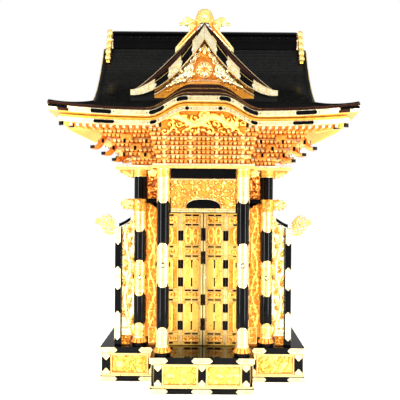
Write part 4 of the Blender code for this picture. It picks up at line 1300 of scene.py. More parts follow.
def edge_rise(x, y):
    """How far the eaves rise towards the corners and in the curved gable over the porch."""
    x, y = np.asarray(x, float), np.asarray(y, float)
    cx = np.maximum(0.0, np.abs(x) - 0.20) / (EAVE_HALF[0] - 0.20)
    cy = np.maximum(0.0, np.abs(y) - 0.20) / (EAVE_HALF[1] - 0.20)
    swell = smooth((BULGE_END - np.abs(x)) / (BULGE_END - 0.070))
    return 0.022 * cx ** 2 * cy ** 2 + 0.055 * swell * np.clip((-0.29 - y) / 0.09, 0.0, 1.0)


def eave_sides(set_back):
    """The four faces of an eave: plane, half length and rise along it."""
    hx, hy = EAVE_HALF[0] - set_back, EAVE_HALF[1] - set_back
    return ((front(-hy), hx, lambda u: float(edge_rise(u, -hy))),
            (back(hy), hx, lambda u: float(edge_rise(-u, hy))),
            (flank(-1, hx), hy, lambda u: float(edge_rise(-hx, -u))),
            (flank(1, hx), hy, lambda u: float(edge_rise(hx, u))))


def surface(piece, xs, ys, top, bottom, tint=1.0):
    """Close the space between two surfaces over a grid."""
    grid_x = np.repeat(np.asarray(xs)[:, None], len(ys), axis=1)
    grid_y = np.repeat(np.asarray(ys)[None, :], len(xs), axis=0)
    upper = np.stack((grid_x, grid_y, top(grid_x, grid_y)), axis=-1).reshape(-1, 3)
    lower = np.stack((grid_x, grid_y, bottom(grid_x, grid_y)), axis=-1).reshape(-1, 3)
    closed_sheet(piece, upper, lower, len(xs), len(ys), tint)


def rafters(section, level, set_back, reach, drop, tall, wide, pitch, skip):
    """Rows of rafters under an eave, with a bright plate on each end."""
    hx, hy = EAVE_HALF[0] - set_back, EAVE_HALF[1] - set_back
    for nx, ny, half, edge in ((0, -1, hx, hy), (0, 1, hx, hy), (-1, 0, hy, hx), (1, 0, hy, hx)):
        count = int((half - 0.010) / pitch)
        for k in range(-count, count + 1):
            s = k * pitch
            if ny == -1 and abs(s) < skip:
                continue
            inner = max(edge - reach, abs(s) - (half - edge) if nx == 0 else abs(s) + (edge - half))
            if edge - inner < 0.012:
                continue
            d = np.linspace(inner, edge - 0.004, 4)
            px = s + 0 * d if nx == 0 else nx * d
            py = ny * d if nx == 0 else s + 0 * d
            z = level + edge_rise(px, py)
            side_way = (wide / 2, 0.0) if nx == 0 else (0.0, wide / 2)
            rings = []
            for x, y, height in zip(px, py, z):
                for a, b in ((-1, -drop - tall), (1, -drop - tall), (1, 0.001 - drop), (-1, 0.001 - drop)):
                    rings.append((x + side_way[0] * a, y + side_way[1] * a, height + b))
            faces = ring_faces(4, 4) + [(3, 2, 1, 0), (12, 13, 14, 15)]
            if (nx == 0 and ny > 0) or nx < 0:
                faces = [tuple(reversed(face)) for face in faces]
            section.of("gold").add(rings, faces, 0.5)
            plane = standing((px[-1], py[-1]), (-ny, nx))
            cap = rect(-wide * 0.62, wide * 0.62, z[-1] - drop - tall * 1.08, z[-1] - drop + tall * 0.10)
            slab(section.of("plate"), plane, cap, -0.0005, 0.0018, 0.0005, 1.0)


FASCIA_BLACKS = {"upper": ((0.340, 0.420), (0.145, 0.203), (0.057, 0.1015)),
                 "lower": ((0.333, 0.414), (0.176, 0.203), (0.054, 0.071))}
SIDE_BLACKS = ((0.300, 0.365), (0.130, 0.195))


def fascia(section, set_back, z0, z1, blacks):
    """Board along an eave's edge: gilded, with pointed lengths of black lacquer and a stud beside each."""
    for number, (plane, half, rise) in enumerate(eave_sides(set_back)):
        edge_strip(section.of("plate"), plane, -half, half, z0, z1, -0.006, -0.0008, rise, 0.0010, 0.85)
        for low in (z0 + 0.0012, z1 - 0.0030):
            edge_strip(section.of("plate"), plane, -half, half, low, low + 0.0018, -0.002, 0.0, rise,
                       0.0004)
        places = blacks if number == 0 else SIDE_BLACKS
        for a, b in places:
            for sense in (-1, 1):
                u0, u1 = sorted((sense * a, sense * b))
                edge_strip(section.of("black"), plane, u0, u1, z0 + 0.0006, z1 - 0.0006, -0.003, -0.0001,
                           rise, 0.0005, 1.0, (0.006, 0.006))
                for u in (u0 - 0.007, u1 + 0.007):
                    dome(section.of("black"), plane, u, (z0 + z1) / 2 + rise(u), 0.0022, 0.0006, -0.0010)


EAVE_LOW = LEDGE_TOP + TIER_COUNT * TIER_H + 0.0006


def build_lower_eave():
    section = Section("eave_lower")
    hx, hy = EAVE_HALF[0] - LOWER_INSET, EAVE_HALF[1] - LOWER_INSET
    xs = np.unique(np.concatenate((np.linspace(-hx + 0.004, hx - 0.004, 90), [0.0])))
    ys = np.linspace(-hy + 0.004, hy - 0.004, 46)
    # The eave's gilded body, and the strip above its fascia below, take low tints: painted shade under the
    # roof.
    surface(section.of("gold"), xs, ys, lambda x, y: LOWER_TOP - 0.0005 + edge_rise(x, y),
            lambda x, y: EAVE_LOW + edge_rise(x, y), 0.30)
    fascia(section, LOWER_INSET, EAVE_LOW + 0.0006, LOWER_MID, FASCIA_BLACKS["lower"])
    for plane, half, rise in eave_sides(LOWER_INSET + 0.002):
        edge_strip(section.of("gold"), plane, -half, half, 1.0452, LOWER_TOP - 0.0006, -0.006, 0.0, rise,
                   0.0040, 0.42)
    for k in range(6):
        for sense in (-1, 1):
            for v in (EAVE_LOW + 0.0042, 1.0412):
                u = sense * (0.083 + 0.0175 * k)
                dome(section.of("black"), front(-hy), u, v + float(edge_rise(u, -hy)), 0.0020, 0.0008,
                     -0.0010)
    rafters(section, EAVE_LOW, LOWER_INSET + 0.010, 0.125, 0.0, 0.0095, 0.0085, 0.0250,
            CARVING_HALF + 0.010)
    section.done("eave_lower")


def build_upper_eave():
    section = Section("eave_upper")
    hx, hy = EAVE_HALF[0] - 0.005, EAVE_HALF[1] - 0.005
    xs = np.linspace(-hx, hx, 96)
    ys = np.linspace(-hy, hy, 48)
    # The upper eave's body also takes a low tint: painted shade under the roof.
    surface(section.of("gold"), xs, ys, lambda x, y: UPPER_TOP - 0.0004 + edge_rise(x, y),
            lambda x, y: LOWER_TOP + 0.003 + edge_rise(x, y), 0.42)
    fascia(section, 0.0, UPPER_LOW, UPPER_TOP - 0.0006, FASCIA_BLACKS["upper"])
    corners = ((0.0010, 0.074, 1.0690, UPPER_TOP - 0.0006, "black"),
               (0.0370, 0.079, 1.0582, 1.0695, "brown"))
    for plane, half, rise in eave_sides(0.0):
        for sense in (-1, 1):
            for a, b, low, high, finish in corners:
                u0, u1 = sorted((sense * (half - a), sense * (half - b)))
                edge_strip(section.of(finish), plane, u0, u1, low, high, -0.003, 0.0, rise, 0.0005)
    section.done("eave_upper")


def build_hip_rafters():
    """The rafter under each corner of both eaves, with black bands."""
    section = Section("hip_rafters")
    eaves = ((LOWER_INSET, 1.012, 0.022, 0.020), (0.004, 1.058, 0.018, 0.018))
    for sx in (-1, 1):
        for sy in (-1, 1):
            way = np.array((sx, sy)) / math.sqrt(2)
            for set_back, z, tall, wide in eaves:
                end = np.array((sx * (EAVE_HALF[0] - set_back), sy * (EAVE_HALF[1] - set_back)))
                start = end - way * 0.150
                plane = standing(start, way)
                lift = float(edge_rise(end[0], end[1]))
                outline = [(0.0, z), (0.138, z + lift), (0.138, z + lift + tall), (0.0, z + tall)]
                slab(section.of("gold"), plane, outline, -wide / 2, wide / 2, 0.001, 0.6)
                for a, b, tip in ((0.086, 0.104, -0.0008), (0.132, 0.1395, -0.0014)):
                    band = [(a, z + lift * a / 0.14 - 0.0012), (b, z + lift * b / 0.14 - 0.0012),
                            (b, z + lift * b / 0.14 + tall * 0.92), (a, z + lift * a / 0.14 + tall * 0.92)]
                    slab(section.of("black"), plane, band, -wide / 2 + tip, wide / 2 - tip, 0.0006)
    section.done()


# Roofs

COURSE_FALL = 0.0021
COURSE_SLIP = 0.00005
EDGE_BACK = 0.0030
VERGE_X = 0.433
RIDGE_D = 0.026
RIDGE_X = 0.402


def roof_curve(distance):
    lift = 0.18 * distance + 0.280 * np.maximum(distance / EAVE_HALF[1], 0.0) ** 2.8
    return np.minimum(1.405, ROOF_EDGE + lift)


def porch_swell(x):
    """How much of the roof's lift over the porch is reached, from 0 to 1."""
    return smooth((BULGE_END + 0.010 - np.abs(x)) / (BULGE_END - 0.035))


def roof_inward(x, y, hipped):
    inward = EAVE_HALF[1] - np.abs(y)
    return np.minimum(inward, EAVE_HALF[0] - np.abs(x)) if hipped else inward


def roof_top(x, y, hipped):
    """Top of the main roof: hipped outside the verges, and swelling over the porch."""
    inward = roof_inward(x, y, hipped)
    plain = roof_curve(inward)
    swell = porch_swell(x)
    raised = np.maximum(plain, ROOF_EDGE + PORCH_LIFT * swell)
    return np.where((y < 0) & (swell > 0), raised, plain + edge_rise(x, y))


def course_lines(limit):
    """Places of the shingle courses, two for each step: the butt of one course and the top of the next."""
    lines = [0.0]
    k = 1
    while k * COURSE < limit - 0.002:
        lines += [k * COURSE - 0.0004, k * COURSE]
        k += 1
    return np.array(lines + [limit])


def shingled(x, y, hipped):
    """The roof's top with stepped shingle courses, lowest at the upper end of each course."""
    inward = roof_inward(x, y, hipped)
    part = np.mod(inward + COURSE_SLIP, COURSE) / COURSE
    shift = 0.5 * np.mod(np.floor(inward / COURSE), 2)
    butts = 0.0012 * np.mod(np.floor(np.abs(x) / SHINGLE + shift), 3) / 3
    return roof_top(x, y, hipped) - COURSE_FALL * part - butts * 0.4


def build_main_roof():
    section = Section("main_roof")
    roof = section.of("roof")
    depth = course_lines(EAVE_HALF[1] - RIDGE_D)
    depth[0] = EDGE_BACK
    ys = np.concatenate((-EAVE_HALF[1] + depth, (EAVE_HALF[1] - depth)[::-1]))
    verge = np.array((VERGE_X - 0.0268, VERGE_X - 0.0134, VERGE_X))
    inner = np.concatenate((-verge[::-1], np.linspace(-VERGE_X + 0.0272, VERGE_X - 0.0272, 67), verge))

    def under(x, y):
        return UPPER_TOP + 0.0006 + edge_rise(x, y)

    def gabled_under(x, y):
        soffit = np.maximum(under(x, y), roof_curve(EAVE_HALF[1] - np.abs(y)) - 0.024)
        return np.where(np.abs(x) > VERGE_X - 0.0270, soffit, under(x, y))
    surface(roof, inner, ys, lambda x, y: shingled(x, y, False), gabled_under)
    outward = course_lines(EAVE_HALF[0] - VERGE_X)
    hip_depth = course_lines(EAVE_HALF[0] - VERGE_X - 0.0002)
    outward[0] = hip_depth[0] = EDGE_BACK
    middle = np.linspace(-EAVE_HALF[1] + hip_depth[-1], EAVE_HALF[1] - hip_depth[-1], 40)[1:-1]
    hip_ys = np.concatenate((-EAVE_HALF[1] + hip_depth, middle, (EAVE_HALF[1] - hip_depth)[::-1]))
    for side in (-1, 1):
        xs = np.sort(side * (EAVE_HALF[0] - outward))
        surface(roof, xs, hip_ys, lambda x, y: shingled(x, y, True), under)
    section.done("main_roof", angle=25.0)


def build_roof_edge():
    """Layered brown boards under the shingles, swelling over the porch; two thin gilded lines there are
    painted highlights.
    """
    section = Section("roof_edge")
    for plane, half, rise in eave_sides(0.0):
        for k, (z0, z1) in enumerate(((UPPER_TOP + 0.0008, 1.0838), (1.0842, ROOF_EDGE - 0.0002))):
            edge_strip(section.of("brown"), plane, -half, half, z0, z1, -0.010, -0.0004 - 0.0012 * k,
                       rise, 0.0022)
    places = np.linspace(-BULGE_END - 0.010, BULGE_END + 0.010, 61)
    foot = UPPER_TOP + 0.0010 + edge_rise(places, -EAVE_HALF[1])
    tall = ROOF_EDGE + PORCH_LIFT * porch_swell(places) - 0.0004 - foot
    layers = 5
    for k in range(layers):
        low, high = foot + tall * (k / layers + 0.01), foot + tall * ((k + 1) / layers - 0.01)
        strip(section.of("brown"), front(-EAVE_HALF[1]), places, low, high, -0.012,
              -0.0002 - 0.0010 * (k % 2), 0.0034)
        # Thin gilded lines under layers 1 and 3: painted highlights on the rounded edges of the lacquer
        # layers.
        if k in (1, 3):
            strip(section.of("plate"), front(-EAVE_HALF[1]), places, low - 0.0010, low, -0.004, -0.0004,
                  0.0002, 0.30)
    section.done()


def build_hip_ridges():
    """Low ridges down the four hips and down the verges."""
    section = Section("hip_ridges")
    roof = section.of("roof")
    for sx in (-1, 1):
        for sy in (-1, 1):
            steps = np.linspace(0.004, EAVE_HALF[0] - VERGE_X, 18)
            spots = [(sx * (EAVE_HALF[0] - d), sy * (EAVE_HALF[1] - d)) for d in steps]
            path = [(x, y, float(roof_top(np.array(x), np.array(y), True)) + 0.001) for x, y in spots]
            tube(roof, path, 0.0048, 8)
            steps = np.linspace(EAVE_HALF[0] - VERGE_X, EAVE_HALF[1] - RIDGE_D - 0.004, 30)
            for offset, radius in ((0.004, 0.0042), (0.013, 0.0030)):
                path = [(sx * (VERGE_X - offset), sy * (EAVE_HALF[1] - d), float(roof_curve(d)) - 0.0006)
                        for d in steps]
                tube(roof, path, radius, 8)
    section.done()


def build_side_gables():
    """Verge boards, panelled wall and pendant in the gable at each end of the ridge."""
    floor = float(roof_curve(EAVE_HALF[0] - VERGE_X)) + 0.003
    for side, word in SIDES:
        node = "side_verge_" + word
        low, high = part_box(node)
        plane = flank(side, abs(high.x if side > 0 else low.x))
        section = Section(node)
        ys = np.linspace(RIDGE_D, 0.29, 24)
        outer = roof_curve(EAVE_HALF[1] - ys) - 0.003
        inner = np.maximum(outer - 0.035, floor)
        both = np.concatenate((-ys[::-1], [0.0], ys))
        crest = np.concatenate((outer[::-1], [outer[0]], outer))
        base = np.concatenate((inner[::-1], [inner[0]], inner))
        strip(section.of("roof"), plane, both, base, crest, -0.0095, -0.0030, 0.0008)
        strip(section.of("gold"), plane, both, base + 0.001, crest - 0.001, -0.0045, -0.0010, 0.0008, 0.75)
        for drop, wide in ((0.001, 0.004), (0.029, 0.004)):
            upper = np.maximum(crest - drop, floor + 0.0006)
            strip(section.of("plate"), plane, both, np.maximum(crest - drop - wide, floor), upper,
                  -0.0015, -0.0001, 0.0003)
        for sense in (-1, 1):
            for a0, a1 in ((0.075, 0.110), (0.165, 0.205)):
                spots = np.linspace(a0, a1, 7)
                top = roof_curve(EAVE_HALF[1] - spots) - 0.0095
                strip(section.of("black"), plane, sense * spots, top - 0.0215, top, -0.0015, -0.0001,
                      0.0004, 1.0, (0.005, 0.005))
        section.done(node)
        section = Section("side_gable_" + word)
        wall = flank(side, VERGE_X - 0.0265)

        def crown(u):
            return roof_curve(EAVE_HALF[1] - np.abs(u)) - 0.036
        field = foliage(-0.22, 0.22, 1.12, 1.37, 0.040, 71, 0.3)
        relief(section.of("gold"), wall, -0.225, 0.225, floor + 0.001, crown, field, 0.0, 0.006, 0.00455,
               -0.001, (0.15, 0.85))
        pendant = flank(side, VERGE_X + 0.0095)
        rosette(section.of("plate"), pendant, 0.0, 1.352, 0.019, 8, 0.0045, -0.004)
        for sense in (-1, 1):
            scroll(section.of("gold"), pendant, sense * 0.020, 1.337, 0.013, 1.4, math.pi / 2, sense,
                   0.0036, -0.004)
        section.done()


def build_main_ridge():
    section = Section("main_ridge")
    roof = section.of("black")
    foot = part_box("main_ridge")[0].z
    steps = ((RIDGE_D - 0.0005, 0.0), (RIDGE_D - 0.0005, 0.016), (RIDGE_D - 0.0030, 0.017),
             (RIDGE_D - 0.0030, 0.028), (RIDGE_D - 0.0005, 0.029), (RIDGE_D - 0.0005, 0.042),
             (RIDGE_D - 0.0030, 0.043), (RIDGE_D - 0.0030, 0.055), (RIDGE_D + 0.0055, 0.0630),
             (RIDGE_D + 0.0055, 0.0700), (RIDGE_D - 0.0060, 0.0766))
    half = [(y, foot + z) for y, z in steps]
    outline = half + [(-y, z) for y, z in reversed(half)]
    plane = Plane((0, 0, 0), (0, 1, 0), (0, 0, 1))
    slab(roof, plane, outline, -RIDGE_X + 0.0004, RIDGE_X - 0.0004, 0.0008)
    for side in (front(-RIDGE_D - 0.0005), back(RIDGE_D + 0.0005)):
        for k in range(-9, 10):
            dome(roof, side, k * 0.040, foot + 0.049, 0.0060, 0.0026, 0.0, 1.0, 14)
    section.done("main_ridge")


def build_ridge_ends():
    """Ornaments of scrolled knobs that close the ridge."""
    for side, word in SIDES:
        node = "ridge_end_" + word
        low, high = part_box(node)
        section = Section(node)
        gold = section.of("gold")
        thick = 0.021
        middle = (low.x + high.x) / 2
        centre = Plane((middle, 0, 0), (0, side, 0))
        knobs = ((0.018, 1.4730, 0.0155), (0.038, 1.4415, 0.0145), (0.054, 1.4105, 0.0138),
                 (0.068, 1.3810, 0.0132), (0.0775, 1.3540, 0.0118))
        for u, z, r in knobs:
            for sense in (-1, 1):
                slab(gold, centre, circle(sense * u, z, r, 24), -thick / 2, thick / 2, 0.0040, 0.9)
                for face in (-1, 1):
                    plane = Plane((middle + face * (thick / 2 - 0.0010), 0, 0), (0, face, 0))
                    scroll(gold, plane, sense * u * face, z, r * 0.62, 1.5, math.pi / 2, sense * face,
                           0.0020, 0.0)
        half = [(RIDGE_D + 0.0005, 1.4060), (0.060, 1.3556), (0.078, 1.3324), (0.080, 1.3560),
                (0.066, 1.3900), (0.046, 1.4300), (0.020, 1.4740)]
        body = [(-u, z) for u, z in reversed(half)] + half
        slab(gold, centre, body[::-1], -thick / 2 + 0.003, thick / 2 - 0.003, 0.0015, 0.5)
        rosette(gold, flank(side, side * middle + thick / 2), 0.0, 1.446, 0.017, 8, 0.0030, -0.0032)
        section.done(node)


# Front gable

GABLE_FRONT = -0.324
GABLE_FACE = front(GABLE_FRONT)
GABLE_HALF = 0.2905
BOARD_HALF = 0.288
GABLE_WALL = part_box("gable_wall")[0].y
ROSETTE_Z = 1.260
BOSS_Z = 1.468


def gable_top(x):
    t = np.abs(x) / GABLE_HALF
    return 1.441 - 0.272 * (1.12 * t - 0.12 * t ** 4)


def board_top(x):
    t = np.minimum(1.0, np.abs(x) / BOARD_HALF)
    return 1.177 + 0.256 * (1 - t) ** 1.9


def board_width(x):
    return np.interp(np.abs(x) / BOARD_HALF, (0.0, 0.10, 0.22, 0.36, 0.52, 0.70, 0.86, 1.0),
                     (0.058, 0.054, 0.046, 0.040, 0.034, 0.029, 0.026, 0.022))


def gable_band(piece, sense, a, b, above, below, low, high, bevel, tint, points=(0.0, 0.0)):
    """A strip that follows the gable boards between two distances from the middle.

    Its edges are parts of the board's width below the board's top; its ends may be pointed.
    """
    places = np.linspace(a, b, 24)
    if points[0] or points[1]:
        places = np.unique(np.concatenate((places, [a + points[0], b - points[1]])))
    top = board_top(places) - above * board_width(places)
    low_edge = board_top(places) - below * board_width(places)
    strip(piece, GABLE_FACE, sense * places, low_edge, top, low, high, bevel, tint, points)


def build_gable_roof():
    section = Section("gable_roof")
    roof = section.of("roof")
    lines = GABLE_HALF - course_lines(GABLE_HALF)
    xs = np.unique(np.round(np.concatenate((-lines, lines)), 6))
    ys = np.concatenate((np.linspace(GABLE_FRONT + 0.0004, GABLE_WALL + 0.006, 6),
                         np.linspace(GABLE_WALL + 0.0066, -RIDGE_D - 0.001, 34)))

    def top(x, y):
        part = np.mod(GABLE_HALF - np.abs(x) + COURSE_SLIP, COURSE) / COURSE
        return np.maximum(gable_top(x) - COURSE_FALL * part, under(x, y) + 0.0004)

    def under(x, y):
        soffit = board_top(x) - 0.020
        behind = np.minimum(soffit, roof_curve(EAVE_HALF[1] - np.abs(y)) - 0.006)
        return np.where(y > GABLE_WALL + 0.0063, behind, soffit)
    surface(roof, xs, ys, top, under)
    section.done("gable_roof", angle=25.0)


def build_gable_edge():
    """Layered boards and fittings along the front of the gable's roof."""
    section = Section("gable_edge")
    brown = section.of("brown")
    places = np.linspace(0.0, GABLE_HALF - 0.0005, 40)
    both = both_ways(places)
    layers = 4
    crest = gable_top(both)
    fall = board_top(both) - 0.004 - crest
    for k in range(layers):
        upper = crest + fall * (k / layers + 0.02) - 0.0004
        lower = crest + fall * ((k + 1) / layers - 0.02) - 0.0004
        upper = np.maximum(upper, lower + 0.0012)
        strip(brown, GABLE_FACE, both, lower, upper, -0.012, 0.0008 + 0.0014 * (k % 2), 0.0026)
    for sense in (-1, 1):
        # The long pale strip along the board's top edge is partly a gilded trim and partly a painted
        # highlight along that edge; black lengths run over it.
        for a, b, finish in ((0.030, 0.2860, "plate"), (0.047, 0.091, "black"), (0.139, 0.193, "black")):
            spots = np.linspace(a, b, 30)
            line = board_top(spots)
            high = 0.0030 if finish == "plate" else 0.0036
            upper = line + np.minimum(0.32 * (gable_top(spots) - line), 0.012)
            strip(section.of(finish), GABLE_FACE, sense * spots, line - 0.004, upper, -0.004, high,
                  0.0005, 0.85)
        spots = np.linspace(0.075, GABLE_HALF - 0.012, 26)
        upper = gable_top(spots) - 0.0035
        strip(section.of("plate"), GABLE_FACE, sense * spots, upper - 0.0022, upper, 0.0004, 0.0022,
              0.0003, 0.9)
    section.done()


BOARD_BANDS = (("plate", 0.0004, 0.050, 0.04, 0.0082, 0.0008, (0.0, 0.006)),
               ("black", 0.047, 0.091, 0.06, 0.0072, 0.0006, (0.0, 0.0)),
               ("plate", 0.085, 0.143, 0.04, 0.0084, 0.0008, (0.008, 0.008)),
               ("black", 0.139, 0.193, 0.06, 0.0072, 0.0006, (0.0, 0.0)),
               ("plate", 0.186, BOARD_HALF - 0.001, 0.04, 0.0082, 0.0008, (0.008, 0.0)))


def build_gable_boards():
    """Sweeping boards of the front gable: gilded fittings with lengths of black lacquer between them."""
    for sense, word in SIDES:
        section = Section("gable_board_" + word)
        gold = section.of("gold")
        gable_band(gold, sense, 0.0004, BOARD_HALF, 0.0, 1.0, 0.0006, 0.0060, 0.0010, 0.75)
        for finish, a, b, edge, high, bevel, points in BOARD_BANDS:
            gable_band(section.of(finish), sense, a, b, edge, 1 - edge, 0.005, high, bevel, 1.0, points)
        gable_band(section.of("plate"), sense, 0.0004, BOARD_HALF - 0.003, 0.90, 1.0, 0.005, 0.0090,
                   0.0004, 0.9)
        for u in (0.0465, 0.094, 0.114, 0.134, 0.196):
            v = float(board_top(u) - 0.5 * board_width(u))
            dome(section.of("plate"), GABLE_FACE, sense * u, v, 0.0030, 0.0014, 0.0080, 1.0, 12)
        for u in (0.104, 0.124, 0.215, 0.245):
            v = float(board_top(u) - 0.5 * board_width(u))
            scroll(section.of("gold"), GABLE_FACE, sense * u, v, 0.0085, 1.3, math.pi / 2, sense, 0.0013,
                   0.0080, 0.6)
        section.done("gable_board_" + word)


def build_gable_wall():
    """Tympanum behind the boards: rosette, leaf scrolls, framing lines and the curved beam."""
    section = Section("gable_wall")
    gold = section.of("gold")
    plane = front(GABLE_WALL)
    limit = BULGE_END - 0.008

    def crown(u):
        return board_top(u) - 0.0225

    def foot(u):
        return np.minimum(roof_top(u, np.full_like(u, GABLE_WALL), False) + 0.0125, crown(u) - 0.004)
    field = foliage(-limit, limit, 1.18, 1.40, 0.030, 81, 0.2, 0.26)
    relief(gold, plane, -limit, limit, foot, crown, lambda u, v: 0.42 * field(u, v), -0.004, 0.006,
           0.00338, -0.014, (0.10, 0.62))
    places = np.linspace(0.0, limit, 30)
    both = both_ways(places)
    face = front(GABLE_WALL - 0.0005)
    for drop, wide, high, finish in ((0.040, 0.0035, 0.0035, "brown"), (0.047, 0.0045, 0.0060, "plate")):
        upper = board_top(both) - board_width(both) - drop + 0.034
        strip(section.of(finish), face, both, upper - wide, upper, -0.004, high, 0.0005, 0.9)
    slab(section.of("shaded"), face, circle(0.0, 1.256, 0.053, 48), 0.000, 0.0058, 0.0020, 0.25)
    rosette(section.of("plate"), face, 0.0, ROSETTE_Z, 0.0300, 12, 0.009, 0.0055, (0.62, 1.0))
    dome(section.of("shaded"), face, 0.0, ROSETTE_Z, 0.0130, 0.0060, 0.0100, 0.30, 24)
    ring_band(section.of("plate"), face, circle(0.0, ROSETTE_Z, 0.0325, 40), 0.0030, 0.004, 0.0100,
              0.0010, 0.9)
    arc_places = np.linspace(-0.066, 0.066, 21)
    bow = 1.2165 - 0.007 * (arc_places / 0.066) ** 2
    strip(section.of("shaded"), face, arc_places, bow - 0.0165, bow, -0.002, 0.0090, 0.0030, 0.50)
    strip(section.of("plate"), face, arc_places, bow + 0.0004, bow + 0.0040, -0.002, 0.0095, 0.0008, 1.0)
    pale = section.of("plate")
    for sense in (-1, 1):
        for u, v, r in ((0.067, 1.252, 0.016), (0.082, 1.244, 0.013), (0.057, 1.238, 0.012),
                        (0.074, 1.265, 0.011), (0.093, 1.236, 0.010), (0.104, 1.226, 0.009)):
            dome(pale, face, sense * u, v, r, 0.0065, 0.002, 1.0, 24)
        for u, v, r, turn in ((0.064, 1.262, 0.021, 0.5), (0.078, 1.236, 0.020, 0.2),
                              (0.101, 1.226, 0.016, 0.0), (0.120, 1.212, 0.013, -0.3),
                              (0.047, 1.293, 0.013, 0.9), (0.030, 1.318, 0.011, 1.2)):
            scroll(pale, face, sense * u, v, r, 1.5, math.pi / 2 + sense * turn, sense, r * 0.21, 0.004,
                   0.95)
        for u, v, long, angle in ((0.044, 1.268, 0.036, 0.5), (0.084, 1.252, 0.030, 0.3),
                                  (0.126, 1.206, 0.032, -0.5), (0.034, 1.296, 0.030, 1.0),
                                  (0.016, 1.330, 0.028, 1.35), (0.072, 1.219, 0.032, -0.1),
                                  (0.056, 1.236, 0.026, 2.6), (0.098, 1.212, 0.030, -0.2)):
            raised_leaf(pale, face, sense * u, v, long, long * 0.32, facing(sense, angle), 0.008, 0.004)
    raised_leaf(pale, face, 0.0, 1.322, 0.040, 0.009, math.pi / 2, 0.006, 0.002)
    section.done("gable_wall")


def raised_leaf(piece, plane, u, v, length, width, angle, height, lift, tint=(0.45, 1.0)):
    """A leaf in the round: pointed, bowed along its rib."""
    steps, across = 9, 7
    a = np.linspace(0, 1, steps)
    b = np.linspace(-1, 1, across)
    half = width * np.sin(math.pi * a ** 0.8) ** 0.8 + 0.0004
    along = np.repeat((a * length)[:, None], across, axis=1)
    side_way = half[:, None] * b[None, :]
    bow = height * (1 - b[None, :] ** 2) * np.sin(math.pi * np.clip(a, 0.04, 0.96))[:, None]
    bow = bow * (0.75 + 0.25 * np.abs(b[None, :]))
    ca, sa = math.cos(angle), math.sin(angle)
    grid_u = u + along * ca - side_way * sa
    grid_v = v + along * sa + side_way * ca
    top = plane.at(grid_u, grid_v, lift + bow + 0.0004)
    low = plane.at(grid_u, grid_v, np.full_like(grid_u, lift - 0.001))
    # Lighter where the leaf bows up along its rib, darker at its edges: painted highlight and painted
    # shade.
    tints = blend(tint, np.clip(bow / max(height, 1e-6), 0, 1))
    closed_sheet(piece, top, low, steps, across,
                 np.concatenate((tints.ravel(), np.full(tints.size, tint[0]))))


def build_gable_ornament():
    """Boss, side scrolls and grooved legs astride the gable's peak."""
    section = Section("gable_ornament")
    gold = section.of("gold")
    low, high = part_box("gable_ornament")
    thick = high.y - low.y
    plane = front(low.y)
    crest = []
    for k in range(25):
        a = math.pi * k / 24
        crest.append((0.030 * math.cos(a),
                      high.z - 0.026 + 0.0255 * math.sin(a) * (0.94 + 0.06 * math.cos(10 * a))))
    foot = [(-0.034, 1.466), (-0.036, 1.452), (-0.020, 1.4395), (0.0, 1.4435), (0.020, 1.4395)]
    body = [(0.036, 1.452), (0.034, 1.466)] + crest + foot
    slab(gold, plane, body, -thick + 0.003, -0.0065, 0.0035, 0.80)
    ring_band(gold, plane, circle(0.0, BOSS_Z, 0.019, 32), 0.0045, -0.008, -0.0020, 0.0012, 0.9)
    dome(gold, plane, 0.0, BOSS_Z, 0.0125, 0.0065, -0.0068, 1.0, 24)
    for sense in (-1, 1):
        places = np.linspace(0.030, 0.113, 14)
        edge = gable_top(places) + 0.0012
        top = edge + np.interp(places, (0.030, 0.060, 0.090, 0.113), (0.034, 0.026, 0.022, 0.016))
        strip(section.of("shaded"), plane, sense * places, edge, top, -thick + 0.004, -0.0075, 0.0020, 0.34)
        for part in (0.12, 0.86):
            path = plane.at(sense * places[1:-1], (edge + (top - edge) * part)[1:-1], np.full(12, -0.0072))
            tube(gold, path, 0.0032, 7, 0.95)
        end_box = [(0.100, gable_top(0.100) + 0.0012), (0.1145, gable_top(0.1145) + 0.0012),
                   (0.1145, gable_top(0.1145) + 0.0200), (0.100, gable_top(0.100) + 0.0230)]
        slab(gold, plane, [(sense * a, float(b)) for a, b in end_box], -thick + 0.003, -0.0050, 0.0020, 1.0)
        scroll(gold, plane, sense * 0.068, 1.4485, 0.0165, 1.5, -math.pi * 0.5, sense, 0.0052, -0.013)
        scroll(gold, plane, sense * 0.050, 1.4300, 0.0120, 1.4, math.pi * 0.5, -sense, 0.0046, -0.013)
        slab(gold, plane, circle(sense * 0.068, 1.448, 0.0178, 24), -thick + 0.005, -0.014, 0.0030, 0.6)
        dome(gold, plane, sense * 0.066, 1.4500, 0.0150, 0.0060, -0.0130, 0.95, 24)
        scroll(gold, plane, sense * 0.066, 1.4500, 0.0110, 1.4, math.pi / 2, sense, 0.0026, -0.0085, 0.75)
        for u, v, angle in ((0.040, 1.444, 0.6), (0.084, 1.4400, -0.4)):
            raised_leaf(gold, plane, sense * u, v, 0.019, 0.006, facing(sense, angle), 0.005, -0.013)
        joint = [(0.016, 1.4300), (0.052, 1.4080), (0.060, 1.4210), (0.052, 1.4420), (0.034, 1.4560),
                 (0.018, 1.4500)]
        slab(gold, plane, [(sense * a, b) for a, b in joint], -thick + 0.006, -0.0105, 0.0025, 0.5)
    section.done("gable_ornament")


